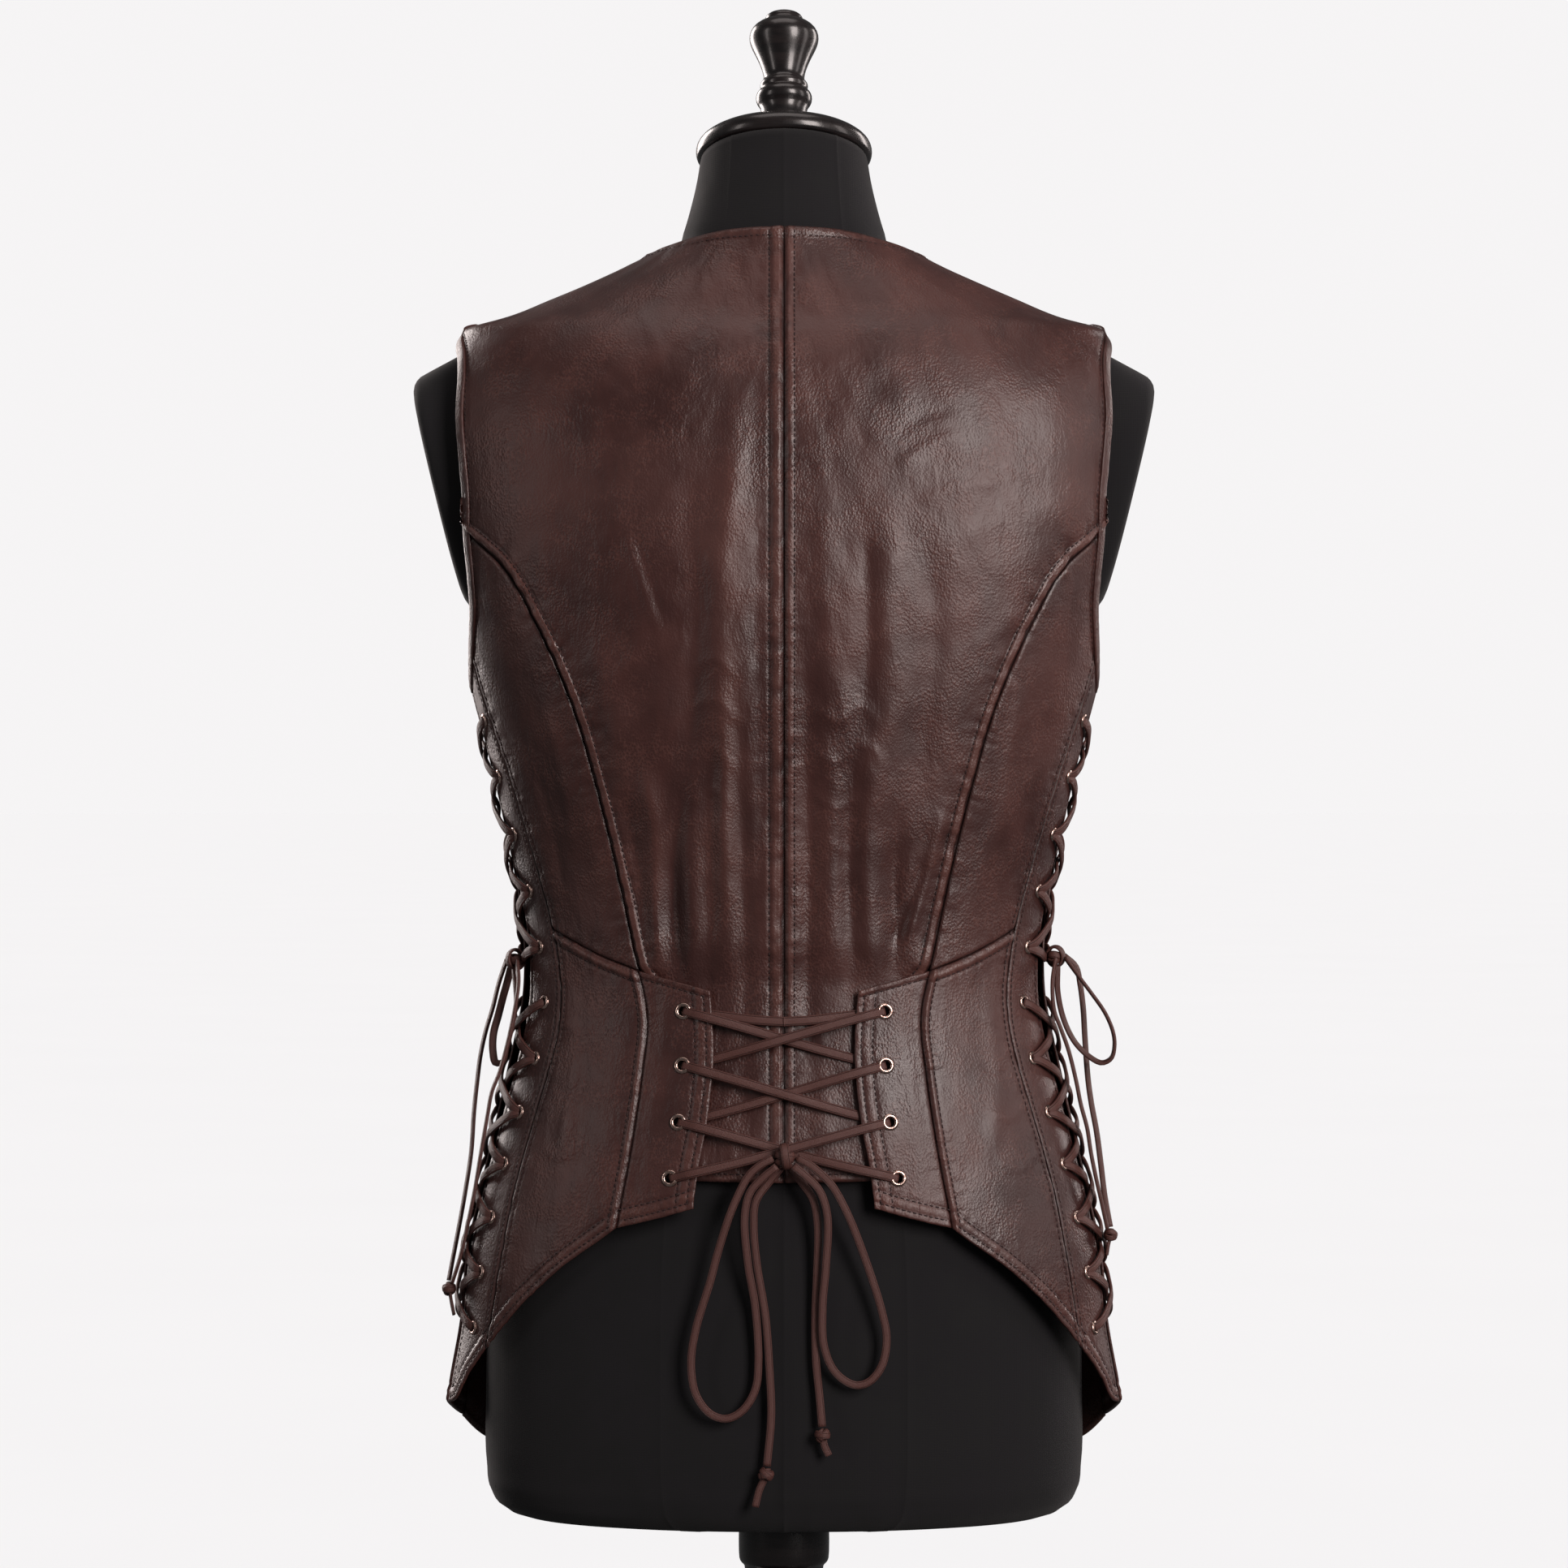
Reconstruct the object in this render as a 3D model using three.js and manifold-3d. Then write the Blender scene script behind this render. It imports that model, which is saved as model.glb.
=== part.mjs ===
// A sleeveless leather vest with laced sides and laced back tabs, worn by a
// limbless dress form on a turned stand. Millimetres, +Z up, the origin on
// the floor under the pole. The wearer faces -Y, so the back of the vest is
// +Y and the wearer's left is +X.
//
// Every cloth piece is a wall cut from one torso surface: a point on it is
// given by its turn (degrees round the body, 0 at the left side, 90 at centre
// back, -90 at centre front), its height z and its lift out of the surface.

import * as THREE from 'three';
import { mergeVertices } from 'three/addons/utils/BufferGeometryUtils.js';
import Module from 'manifold-3d';

const wasm = await Module();
wasm.setup();

// ---- driving dimensions ---------------------------------------------------

const LEATHER = 1.6; // wall of every cut piece
const SEAM_GAP = 0.22; // what each edge gives up at a seam
const BINDING = { width: 10, wall: 1.2, clear: 1.9 };
const EYELET = { bore: 3.0, barrel: 3.35, flange: 5.6, clear: 0.3, height: 1.1 };
const TAB_HOLE = 3.75;
const LACE = { wide: 4.8, thick: 2.4 };
const CORD_RADIUS = 2.2;
const TAB_LIFT = 1.0; // the lacing tabs stand proud of the back
const TUCK = 4.2; // and the centre back is drawn in below them
const CENTRE_BACK = 90;
const CENTRE_FRONT = -90;
const SHOULDER_TURN = -4;
const NECK_TILT = 15; // the neck and its cap lean forward, in degrees
const NECK_TOP = { z: 1147, y: -12, radius: 54 };
const BASE = { radius: 190, height: 34 };
const POLE_TOP = 269.7;

const COLOURS = {
  leather: { color: 0x4a3230, roughness: 0.5, metalness: 0 },
  lace: { color: 0x583a34, roughness: 0.6, metalness: 0 },
  copper: { color: 0x8a6048, roughness: 0.35, metalness: 1 },
  cloth: { color: 0x201e20, roughness: 0.95, metalness: 0 },
  lacquer: { color: 0x141011, roughness: 0.2, metalness: 0 },
};

// ---- sections, a row for each height --------------------------------------

// Outside of the vest: half width, depth behind and before the side line.
const VEST_SECTIONS = [
  { z: 250, half: 225, back: 127, front: 130, power: 2.25 },
  { z: 300, half: 222, back: 126, front: 130, power: 2.25 },
  { z: 350, half: 217.6, back: 123, front: 127, power: 2.25 },
  { z: 397, half: 209.5, back: 119, front: 122, power: 2.25 },
  { z: 439, half: 205.5, back: 116, front: 119, power: 2.25 },
  { z: 477, half: 197.5, back: 113, front: 116, power: 2.25 },
  { z: 522, half: 187, back: 108, front: 111, power: 2.2 },
  { z: 560, half: 178.5, back: 102, front: 107, power: 2.15 },
  { z: 611, half: 168.6, back: 96, front: 103, power: 2.1 },
  { z: 641, half: 168.4, back: 96, front: 104, power: 2.1 },
  { z: 688, half: 175, back: 100, front: 110, power: 2.15 },
  { z: 725, half: 183, back: 105, front: 117, power: 2.2 },
  { z: 761, half: 191, back: 110, front: 122, power: 2.25 },
  { z: 803, half: 202, back: 115, front: 126, power: 2.3 },
  { z: 856, half: 213, back: 119, front: 126, power: 2.35 },
  { z: 925, half: 224, back: 118, front: 119, power: 2.4 },
  { z: 988, half: 225, back: 108, front: 104, power: 2.4 },
  { z: 1015, half: 220, back: 99, front: 92, power: 2.35 },
  { z: 1030, half: 212.5, back: 91, front: 84, power: 2.3 },
  { z: 1037, half: 206.5, back: 86, front: 79, power: 2.25 },
  { z: 1044, half: 180, back: 82, front: 75, power: 2.2 },
  { z: 1055, half: 152, back: 77, front: 68, power: 2.15 },
  { z: 1066, half: 126, back: 72, front: 61, power: 2.1 },
  { z: 1076, half: 104, back: 68, front: 55, power: 2.05 },
  { z: 1084, half: 89, back: 65, front: 51, power: 2 },
  { z: 1092, half: 76, back: 62.5, front: 48, power: 2 },
  { z: 1100, half: 69, back: 61, front: 46, power: 2 },
  { z: 1110, half: 65, back: 60, front: 45, power: 2 },
];

// The dress form under it, a little slimmer; tilt and shift belong to the neck.
const FORM_SECTIONS = [
  { z: 270, half: 150, back: 72, front: 76, power: 2.2, shift: 0, tilt: 0 },
  { z: 272.5, half: 168, back: 87, front: 91, power: 2.2, shift: 0, tilt: 0 },
  { z: 278, half: 181, back: 97, front: 101, power: 2.2, shift: 0, tilt: 0 },
  { z: 289, half: 189.5, back: 103, front: 108, power: 2.2, shift: 0, tilt: 0 },
  { z: 304, half: 191.8, back: 105, front: 110, power: 2.2, shift: 0, tilt: 0 },
  { z: 350, half: 192.3, back: 106, front: 111, power: 2.2, shift: 0, tilt: 0 },
  { z: 400, half: 191, back: 106, front: 110, power: 2.2, shift: 0, tilt: 0 },
  { z: 440, half: 187, back: 105, front: 109, power: 2.2, shift: 0, tilt: 0 },
  { z: 480, half: 179, back: 102, front: 106, power: 2.2, shift: 0, tilt: 0 },
  { z: 522, half: 171, back: 98, front: 101, power: 2.2, shift: 0, tilt: 0 },
  { z: 560, half: 163, back: 92, front: 96, power: 2.15, shift: 0, tilt: 0 },
  { z: 611, half: 157, back: 85.5, front: 92, power: 2.1, shift: 0, tilt: 0 },
  { z: 641, half: 157, back: 85.5, front: 93, power: 2.1, shift: 0, tilt: 0 },
  { z: 688, half: 164, back: 91, front: 100, power: 2.15, shift: 0, tilt: 0 },
  { z: 725, half: 173, back: 97, front: 108, power: 2.2, shift: 0, tilt: 0 },
  { z: 761, half: 182, back: 103, front: 115, power: 2.25, shift: 0, tilt: 0 },
  { z: 803, half: 194, back: 109, front: 120, power: 2.3, shift: 0, tilt: 0 },
  { z: 856, half: 203, back: 114, front: 121, power: 2.35, shift: 0, tilt: 0 },
  { z: 925, half: 214, back: 113, front: 114, power: 2.4, shift: 0, tilt: 0 },
  { z: 980, half: 214, back: 102, front: 97, power: 2.4, shift: 0, tilt: 0 },
  { z: 1006, half: 208, back: 92, front: 83, power: 2.35, shift: 0, tilt: 0 },
  { z: 1020, half: 207.7, back: 86.3, front: 77.5, power: 2.3, shift: 0, tilt: 0 },
  { z: 1028, half: 201.4, back: 82.7, front: 75, power: 2.25, shift: 0, tilt: 0 },
  { z: 1035, half: 177.4, back: 78.2, front: 70.5, power: 2.2, shift: 0, tilt: 0 },
  { z: 1046, half: 150.4, back: 73.7, front: 64, power: 2.15, shift: 0, tilt: 0 },
  { z: 1057, half: 125.4, back: 69.2, front: 58, power: 2.1, shift: 0, tilt: 0 },
  { z: 1068, half: 104.4, back: 66.2, front: 53.5, power: 2.05, shift: 0, tilt: 0 },
  { z: 1078, half: 83.7, back: 61.9, front: 48, power: 2, shift: 0, tilt: 0 },
  { z: 1089, half: 68.5, back: 57.8, front: 44.5, power: 2, shift: 0, tilt: 0 },
  { z: 1100, half: 64.5, back: 56.5, front: 46, power: 2, shift: -1, tilt: 2 },
  { z: 1118, half: 59.5, back: 55, front: 50, power: 2, shift: -5, tilt: 7 },
  { z: 1134, half: 56, back: 54.2, front: 53, power: 2, shift: -9, tilt: 12 },
  { z: 1147, half: 54, back: 54, front: 54, power: 2, shift: -12, tilt: 15 },
];

// The arm stump, a row for each ring from inside the torso out to its plate.
const STUMP_RINGS = [
  { shift: -62, low: 848, high: 1030, depth: 47 },
  { shift: -34, low: 849, high: 1024, depth: 47 },
  { shift: -14, low: 852, high: 1012, depth: 46 },
  { shift: -3, low: 855, high: 1003.5, depth: 45.5 },
  { shift: 0.3, low: 856, high: 1001.5, depth: 45 },
  { shift: 1.4, low: 859, high: 999, depth: 43.5 },
];
const STUMP = { x: 204, z: 856, slope: 0.245 };

// ---- seam lines on the torso, turn in degrees and z in millimetres --------

const LINES = {
  neckBack: [
    { turn: SHOULDER_TURN, z: 1083 },
    { turn: 22, z: 1089.5 },
    { turn: 55, z: 1095.5 },
    { turn: CENTRE_BACK, z: 1097.3 },
  ],
  neckFront: [
    { turn: SHOULDER_TURN, z: 1083 },
    { turn: -32, z: 1068 },
    { turn: -62, z: 1034 },
    { turn: CENTRE_FRONT, z: 985 },
  ],
  shoulder: [
    { turn: SHOULDER_TURN, z: 1037 },
    { turn: SHOULDER_TURN, z: 1044 },
    { turn: SHOULDER_TURN, z: 1060 },
    { turn: SHOULDER_TURN, z: 1083 },
  ],
  armholeUpper: [
    { turn: 16, z: 904 },
    { turn: 16.4, z: 926 },
    { turn: 14.6, z: 976 },
    { turn: 10.6, z: 1013 },
    { turn: SHOULDER_TURN, z: 1037 },
  ],
  armholeSide: [
    { turn: 10.8, z: 830 },
    { turn: 14.1, z: 853 },
    { turn: 15.2, z: 872 },
    { turn: 16, z: 904 },
  ],
  armholeBand: [
    { turn: 4.5, z: 807 },
    { turn: 7.4, z: 815 },
    { turn: 10.8, z: 830 },
  ],
  armholeFront: [
    { turn: -12.8, z: 819 },
    { turn: -18, z: 842 },
    { turn: -21.5, z: 875 },
    { turn: -23, z: 926 },
    { turn: -19, z: 976 },
    { turn: -12.5, z: 1013 },
    { turn: SHOULDER_TURN, z: 1037 },
  ],
  armholeFrontBand: [
    { turn: -3, z: 804 },
    { turn: -8, z: 808.5 },
    { turn: -12.8, z: 819 },
  ],
  princess: [
    { turn: 41.6, z: 625 },
    { turn: 40, z: 644 },
    { turn: 38.3, z: 680 },
    { turn: 36.5, z: 739 },
    { turn: 34.1, z: 795 },
    { turn: 28.9, z: 848 },
    { turn: 24, z: 880 },
    { turn: 16, z: 904 },
  ],
  underTab: [
    { turn: 50, z: 497 },
    { turn: 49, z: 560 },
    { turn: 46.5, z: 606 },
    { turn: 41.6, z: 625 },
  ],
  centreHem: [
    { turn: 50, z: 497 },
    { turn: 64, z: 495 },
    { turn: CENTRE_BACK, z: 494 },
  ],
  centreBack: [
    { turn: CENTRE_BACK, z: 494 },
    { turn: CENTRE_BACK, z: 780 },
    { turn: CENTRE_BACK, z: 1097.3 },
  ],
  waist: [
    { turn: 18.6, z: 651 },
    { turn: 23.4, z: 644.5 },
    { turn: 31.9, z: 634 },
    { turn: 41.6, z: 625 },
  ],
  bandSeamUpper: [
    { turn: 18.6, z: 651 },
    { turn: 16.7, z: 691 },
    { turn: 15.3, z: 730 },
    { turn: 13.3, z: 770 },
    { turn: 11.6, z: 806 },
    { turn: 10.8, z: 830 },
  ],
  bandSeamLower: [
    { turn: 17.6, z: 385 },
    { turn: 19.2, z: 440 },
    { turn: 19.6, z: 490 },
    { turn: 20.6, z: 531 },
    { turn: 21.8, z: 576 },
    { turn: 21.2, z: 604 },
    { turn: 18.6, z: 651 },
  ],
  bandEdge: [
    { turn: 7.2, z: 347 },
    { turn: 7.8, z: 432 },
    { turn: 8.4, z: 502 },
    { turn: 10.4, z: 568 },
    { turn: 9.8, z: 604 },
    { turn: 7.4, z: 675 },
    { turn: 5.2, z: 748 },
    { turn: 4.5, z: 807 },
  ],
  bandHem: [
    { turn: 7.2, z: 347 },
    { turn: 10.4, z: 350 },
    { turn: 13.4, z: 365.6 },
    { turn: 17.6, z: 385 },
  ],
  peplumHem: [
    { turn: 17.6, z: 385 },
    { turn: 25.2, z: 414.3 },
    { turn: 32.9, z: 439 },
    { turn: 43.9, z: 465 },
  ],
  tabSeam: [
    { turn: 43.9, z: 465 },
    { turn: 45.3, z: 517 },
    { turn: 45.3, z: 561 },
    { turn: 44.8, z: 594 },
    { turn: 41.6, z: 625 },
  ],
  tabHem: [
    { turn: 43.9, z: 465 },
    { turn: 53, z: 471 },
    { turn: 62.7, z: 478 },
  ],
  tabTop: [
    { turn: 41.6, z: 625 },
    { turn: 52.1, z: 619 },
    { turn: 63.3, z: 613 },
  ],
  tabEdge: [
    { turn: 62.7, z: 478 },
    { turn: 63.6, z: 504.6 },
    { turn: 65, z: 528 },
    { turn: 65.6, z: 572.6 },
    { turn: 63.3, z: 613 },
  ],
  frontBandSeamUpper: [
    { turn: -10, z: 604 },
    { turn: -11, z: 675 },
    { turn: -12, z: 748 },
    { turn: -12.8, z: 819 },
  ],
  frontBandSeamLower: [
    { turn: -11.5, z: 330 },
    { turn: -10.5, z: 432 },
    { turn: -10, z: 502 },
    { turn: -9.5, z: 568 },
    { turn: -10, z: 604 },
  ],
  frontBandEdge: [
    { turn: -0.5, z: 344.5 },
    { turn: 0, z: 432 },
    { turn: 0.5, z: 502 },
    { turn: 1.5, z: 568 },
    { turn: 0.5, z: 604 },
    { turn: -1, z: 675 },
    { turn: -2.5, z: 748 },
    { turn: -3, z: 804 },
  ],
  frontBandHem: [
    { turn: -0.5, z: 344.5 },
    { turn: -6, z: 338 },
    { turn: -11.5, z: 330 },
  ],
  frontHem: [
    { turn: -11.5, z: 330 },
    { turn: -20, z: 310 },
    { turn: -40, z: 287 },
    { turn: -65, z: 276 },
    { turn: CENTRE_FRONT, z: 272 },
  ],
  centreFront: [
    { turn: CENTRE_FRONT, z: 272 },
    { turn: CENTRE_FRONT, z: 620 },
    { turn: CENTRE_FRONT, z: 985 },
  ],
};

// Eyelets, a row for each height; back ones sit on the tabs.
const BACK_EYELETS = [
  { turn: 55.2, z: 600.2 },
  { turn: 56.4, z: 566.4 },
  { turn: 56.9, z: 531.1 },
  { turn: 56, z: 496.4 },
];
const SIDE_EYELETS = [
  { back: 9.7, front: -8.5, z: 783.5 },
  { back: 9.7, front: -8, z: 747.7 },
  { back: 11, front: -7.5, z: 710.8 },
  { back: 12.4, front: -6.5, z: 674.5 },
  { back: 13.7, front: -5.6, z: 638.7 },
  { back: 16, front: -5, z: 603.8 },
  { back: 16.8, front: -4.6, z: 568.4 },
  { back: 15.8, front: -4.8, z: 534 },
  { back: 14.8, front: -5.2, z: 501 },
  { back: 14.4, front: -5.5, z: 467 },
  { back: 14, front: -5.8, z: 432 },
  { back: 13.2, front: -6, z: 396.5 },
];

// Large soft folds of the two centre backs: a ridge has a negative depth.
const FOLDS = {
  left: [
    { turn: 50, low: 618, high: 712, width: 3.2, depth: 3.2, lean: 0.02 },
    { turn: 56, low: 612, high: 760, width: 3.4, depth: -1.6, lean: 0.03 },
    { turn: 62, low: 606, high: 800, width: 3.2, depth: 2.2, lean: 0.04 },
    { turn: 70, low: 630, high: 900, width: 4.2, depth: -2.0, lean: 0.0 },
    { turn: 77, low: 520, high: 880, width: 3.4, depth: 1.8, lean: -0.01 },
    { turn: 84, low: 630, high: 720, width: 2.6, depth: -1.1, lean: 0.0 },
  ],
  right: [
    { turn: 51, low: 618, high: 720, width: 3.0, depth: 3.4, lean: 0.03 },
    { turn: 58, low: 612, high: 790, width: 3.6, depth: -1.8, lean: 0.04 },
    { turn: 65, low: 606, high: 760, width: 3.0, depth: 2.0, lean: 0.03 },
    { turn: 72, low: 630, high: 960, width: 4.6, depth: -2.1, lean: 0.02 },
    { turn: 80, low: 520, high: 840, width: 3.4, depth: 1.7, lean: 0.01 },
    { turn: 85, low: 630, high: 700, width: 2.4, depth: -0.9, lean: 0.0 },
  ],
};

// ---- free laces, each a hand-laid route -----------------------------------

const ROUTES = {
  back_loop_left: [
    [6.83, 117.63, 509.9], [15, 118, 505.5], [22, 118, 499], [29, 118, 486], [34, 118, 474],
    [41, 116, 452], [46, 115, 433], [55, 113, 403], [58, 112, 382], [55, 112, 362], [46, 112, 350],
    [36, 112, 347], [26, 112, 352], [18, 112, 365], [16, 112, 382], [18, 113, 417],
    [22.5, 116, 444], [24.5, 118.5, 474], [21, 119.5, 489], [13, 120, 498], [4.41, 120.81, 505.04],
  ],
  back_loop_right: [
    [-7.89, 117.61, 510.22], [-15, 118, 506.5], [-21, 118, 502], [-29, 118, 494], [-33, 118, 488],
    [-41, 118, 472], [-53, 115, 440], [-61, 113, 414], [-64, 112, 397], [-61, 112, 380],
    [-53, 112, 370], [-44, 112, 368], [-32, 113, 376], [-25, 114, 392], [-24, 115, 417],
    [-26, 116.5, 442], [-27, 118.5, 474], [-22, 119.5, 490], [-14, 120, 498.5],
    [-5.75, 120.79, 505.41],
  ],
  back_tail_left: [
    [1.73, 114.17, 503.98], [9.5, 112.8, 494.5], [17.5, 113.5, 483], [19, 113.5, 468],
    [17, 113, 444], [11.5, 112, 410], [9, 112, 376], [8, 112, 349], [10.68, 112, 317.45],
  ],
  back_tail_right: [
    [-3, 114.26, 504.14], [-11, 112.8, 494.5], [-18, 113.5, 484], [-21, 113, 468],
    [-20.5, 111.5, 437], [-19.5, 110.8, 410], [-20, 110.8, 382], [-22, 111, 362],
    [-23.75, 112, 341.99],
  ],
  side_loop_left: [
    [174, 18.33, 623.66], [172.5, 25, 612.5], [172, 27, 602], [174.5, 27, 586], [177.5, 27, 574],
    [180, 26, 565], [185, 24, 564], [187, 21, 571], [187, 17, 582], [184, 14, 594], [181, 12, 606],
    [178.5, 11, 615], [176.01, 12.65, 624.31],
  ],
  side_loop_right: [
    [-181.07, 18.47, 630.71], [-188, 25, 621], [-197, 27, 609], [-206, 27, 596], [-211, 27, 584],
    [-212, 26, 575], [-210, 25, 567], [-204, 24, 564], [-196, 23, 568], [-187, 22, 577],
    [-180, 21, 591], [-176, 20, 609], [-175.94, 18.96, 625.69],
  ],
  side_tail_outer_left: [
    [178.96, 10.78, 629.25], [184.3, 5.5, 614], [188, 5, 599], [192.5, 5, 584], [196, 5, 568],
    [198, 6, 552], [200, 8, 532], [201.5, 13, 506], [205, 18, 481], [209, 20, 458], [213, 21, 437],
    [215.3, 22.68, 424.14],
  ],
  side_tail_outer_right: [
    [-180.89, 12.11, 632.09], [-188.5, 8.5, 625], [-191, 9, 614], [-193, 9, 598], [-194, 10, 580],
    [-196, 12, 552], [-198, 14, 537], [-201, 17, 520], [-203.5, 20, 500], [-206, 21, 479],
    [-209.5, 23.09, 458.53],
  ],
  side_tail_inner_left: [
    [171.26, 23.67, 628.95], [170, 32, 616], [172, 33, 601], [177, 33, 577], [182, 33, 559],
    [187, 33, 546], [190, 33, 530], [194, 33, 507], [198, 33, 483], [203, 32, 459], [208, 31, 438],
    [212.79, 27.79, 423.53],
  ],
  side_tail_inner_right: [
    [-174.51, 23.39, 630.49], [-172, 31, 616], [-173, 33, 598], [-177, 33, 587], [-182, 33, 573],
    [-187, 33, 553], [-190, 33, 538], [-194, 33, 523], [-196.5, 33, 507], [-199.5, 33, 492],
    [-203, 32, 477], [-207.28, 28.22, 458.12],
  ],
};

// Knots: bow knots are plain balls, end knots carry a short cut end.
const BOW_KNOTS = [
  { name: 'back_knot', centre: [-0.5, 118, 511], size: [7, 5, 8] },
  { name: 'side_knot_left', centre: [173, 16, 630], size: [6, 6.2, 6.6] },
  { name: 'side_knot_right', centre: [-174.6, 15.5, 632], size: [6, 6.2, 6.6] },
];
const END_KNOTS = [
  { name: 'back_end_left', centre: [11, 112, 312.5], end: [18, 112, 292] },
  { name: 'back_end_right', centre: [-24, 112, 337], end: [-28, 112, 324] },
  { name: 'side_end_left', centre: [214.9, 25, 419.5], end: [211.5, 29, 403] },
  { name: 'side_end_right', centre: [-209.5, 26, 454], end: [-207, 28, 441] },
];
const END_KNOT = { radius: 4.8, cut: 2.2 };

// ---- surface functions ----------------------------------------------------

// Smooth curve through one column of a table, by height.
function columnReader(rows, key) {
  const n = rows.length;
  const slope = (i) => (rows[i + 1][key] - rows[i][key]) / (rows[i + 1].z - rows[i].z);
  const tangent = rows.map((row, i) => {
    if (i === 0) return slope(0);
    if (i === n - 1) return slope(n - 2);
    const before = row.z - rows[i - 1].z;
    const after = rows[i + 1].z - row.z;
    return (before * slope(i) + after * slope(i - 1)) / (before + after);
  });
  return (z) => {
    const height = THREE.MathUtils.clamp(z, rows[0].z, rows[n - 1].z);
    let i = 0;
    while (i < n - 2 && rows[i + 1].z < height) i += 1;
    const span = rows[i + 1].z - rows[i].z;
    const t = (height - rows[i].z) / span;
    const t2 = t * t;
    const t3 = t2 * t;
    const ends = (2 * t3 - 3 * t2 + 1) * rows[i][key] + (3 * t2 - 2 * t3) * rows[i + 1][key];
    return ends + span * ((t3 - 2 * t2 + t) * tangent[i] + (t3 - t2) * tangent[i + 1]);
  };
}

function sectionReader(rows) {
  const readers = {};
  for (const key of Object.keys(rows[0])) {
    if (key !== 'z') readers[key] = columnReader(rows, key);
  }
  return readers;
}

// Point of a ring: a superellipse of its own half width, depths and power.
function ringPoint(readers, turn, z) {
  const angle = THREE.MathUtils.degToRad(turn);
  const across = Math.cos(angle);
  const along = Math.sin(angle);
  const depth = along >= 0 ? readers.back(z) : readers.front(z);
  const power = readers.power(z);
  const sum = Math.abs(across / readers.half(z)) ** power + Math.abs(along / depth) ** power;
  const radius = sum ** (-1 / power);
  return new THREE.Vector3(radius * across, radius * along, z);
}

const vest = sectionReader(VEST_SECTIONS);
const form = sectionReader(FORM_SECTIONS);

function vestNormal(turn, z) {
  const step = 0.5;
  const round = ringPoint(vest, turn + step, z).sub(ringPoint(vest, turn - step, z));
  const up = ringPoint(vest, turn, z + step).sub(ringPoint(vest, turn, z - step));
  return round.cross(up).normalize();
}

function onVest(turn, z, lift = 0) {
  return ringPoint(vest, turn, z).addScaledVector(vestNormal(turn, z), lift);
}

function smooth(value) {
  const t = THREE.MathUtils.clamp(value, 0, 1);
  return t * t * (3 - 2 * t);
}

// Lift of the centre back: drawn in below the waist, with its folds.
function centreLift(turn, z, folds) {
  const inside = Math.max(smooth((turn - 42) / 8), smooth((630 - z) / 6));
  let lift = -TUCK * smooth((645 - z) / 30) * inside;
  for (const fold of folds) {
    const middle = (fold.low + fold.high) / 2;
    const reach = (fold.high - fold.low) / 2;
    const height = smooth(1.25 - Math.abs(z - middle) / reach);
    const offset = (turn - fold.turn - fold.lean * (z - fold.low)) / fold.width;
    lift -= fold.depth * height * Math.exp(-offset * offset);
  }
  return lift;
}

function tabLift(turn) {
  return TAB_LIFT * smooth((turn - 46) / 5);
}

// ---- walls ----------------------------------------------------------------

const TURN_SCALE = 3; // millimetres for a degree, so that lines are even

function sampleLine(rows, count) {
  const points = rows.map((row) => new THREE.Vector3(row.turn * TURN_SCALE, row.z, 0));
  const curve = new THREE.CatmullRomCurve3(points, false, 'centripetal');
  return curve.getSpacedPoints(count).map((p) => ({ turn: p.x / TURN_SCALE, z: p.y }));
}

function chain(...pieces) {
  return pieces.reduce((line, piece) => line.concat(line.length ? piece.slice(1) : piece), []);
}

// Four edge lines blended into rows of (turn, z) points.
function patch(bottom, top, left, right) {
  const across = bottom.length - 1;
  const up = left.length - 1;
  const mix = (key, i, j) => {
    const u = i / across;
    const v = j / up;
    const sides = (1 - u) * left[j][key] + u * right[j][key];
    const ends = (1 - v) * bottom[i][key] + v * top[i][key];
    const low = (1 - u) * bottom[0][key] + u * bottom[across][key];
    const high = (1 - u) * top[0][key] + u * top[across][key];
    return sides + ends - (1 - v) * low - v * high;
  };
  return left.map((_, j) => bottom.map((__, i) => ({ turn: mix('turn', i, j), z: mix('z', i, j) })));
}

function pullIn(grid) {
  const rows = grid.length - 1;
  const cols = grid[0].length - 1;
  const pull = (point, inner) => {
    point.addScaledVector(inner.clone().sub(point).normalize(), SEAM_GAP);
  };
  for (let j = 0; j <= rows; j += 1) {
    pull(grid[j][0], grid[j][1]);
    pull(grid[j][cols], grid[j][cols - 1]);
  }
  for (let i = 0; i <= cols; i += 1) {
    pull(grid[0][i], grid[1][i]);
    pull(grid[rows][i], grid[rows - 1][i]);
  }
}

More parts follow.
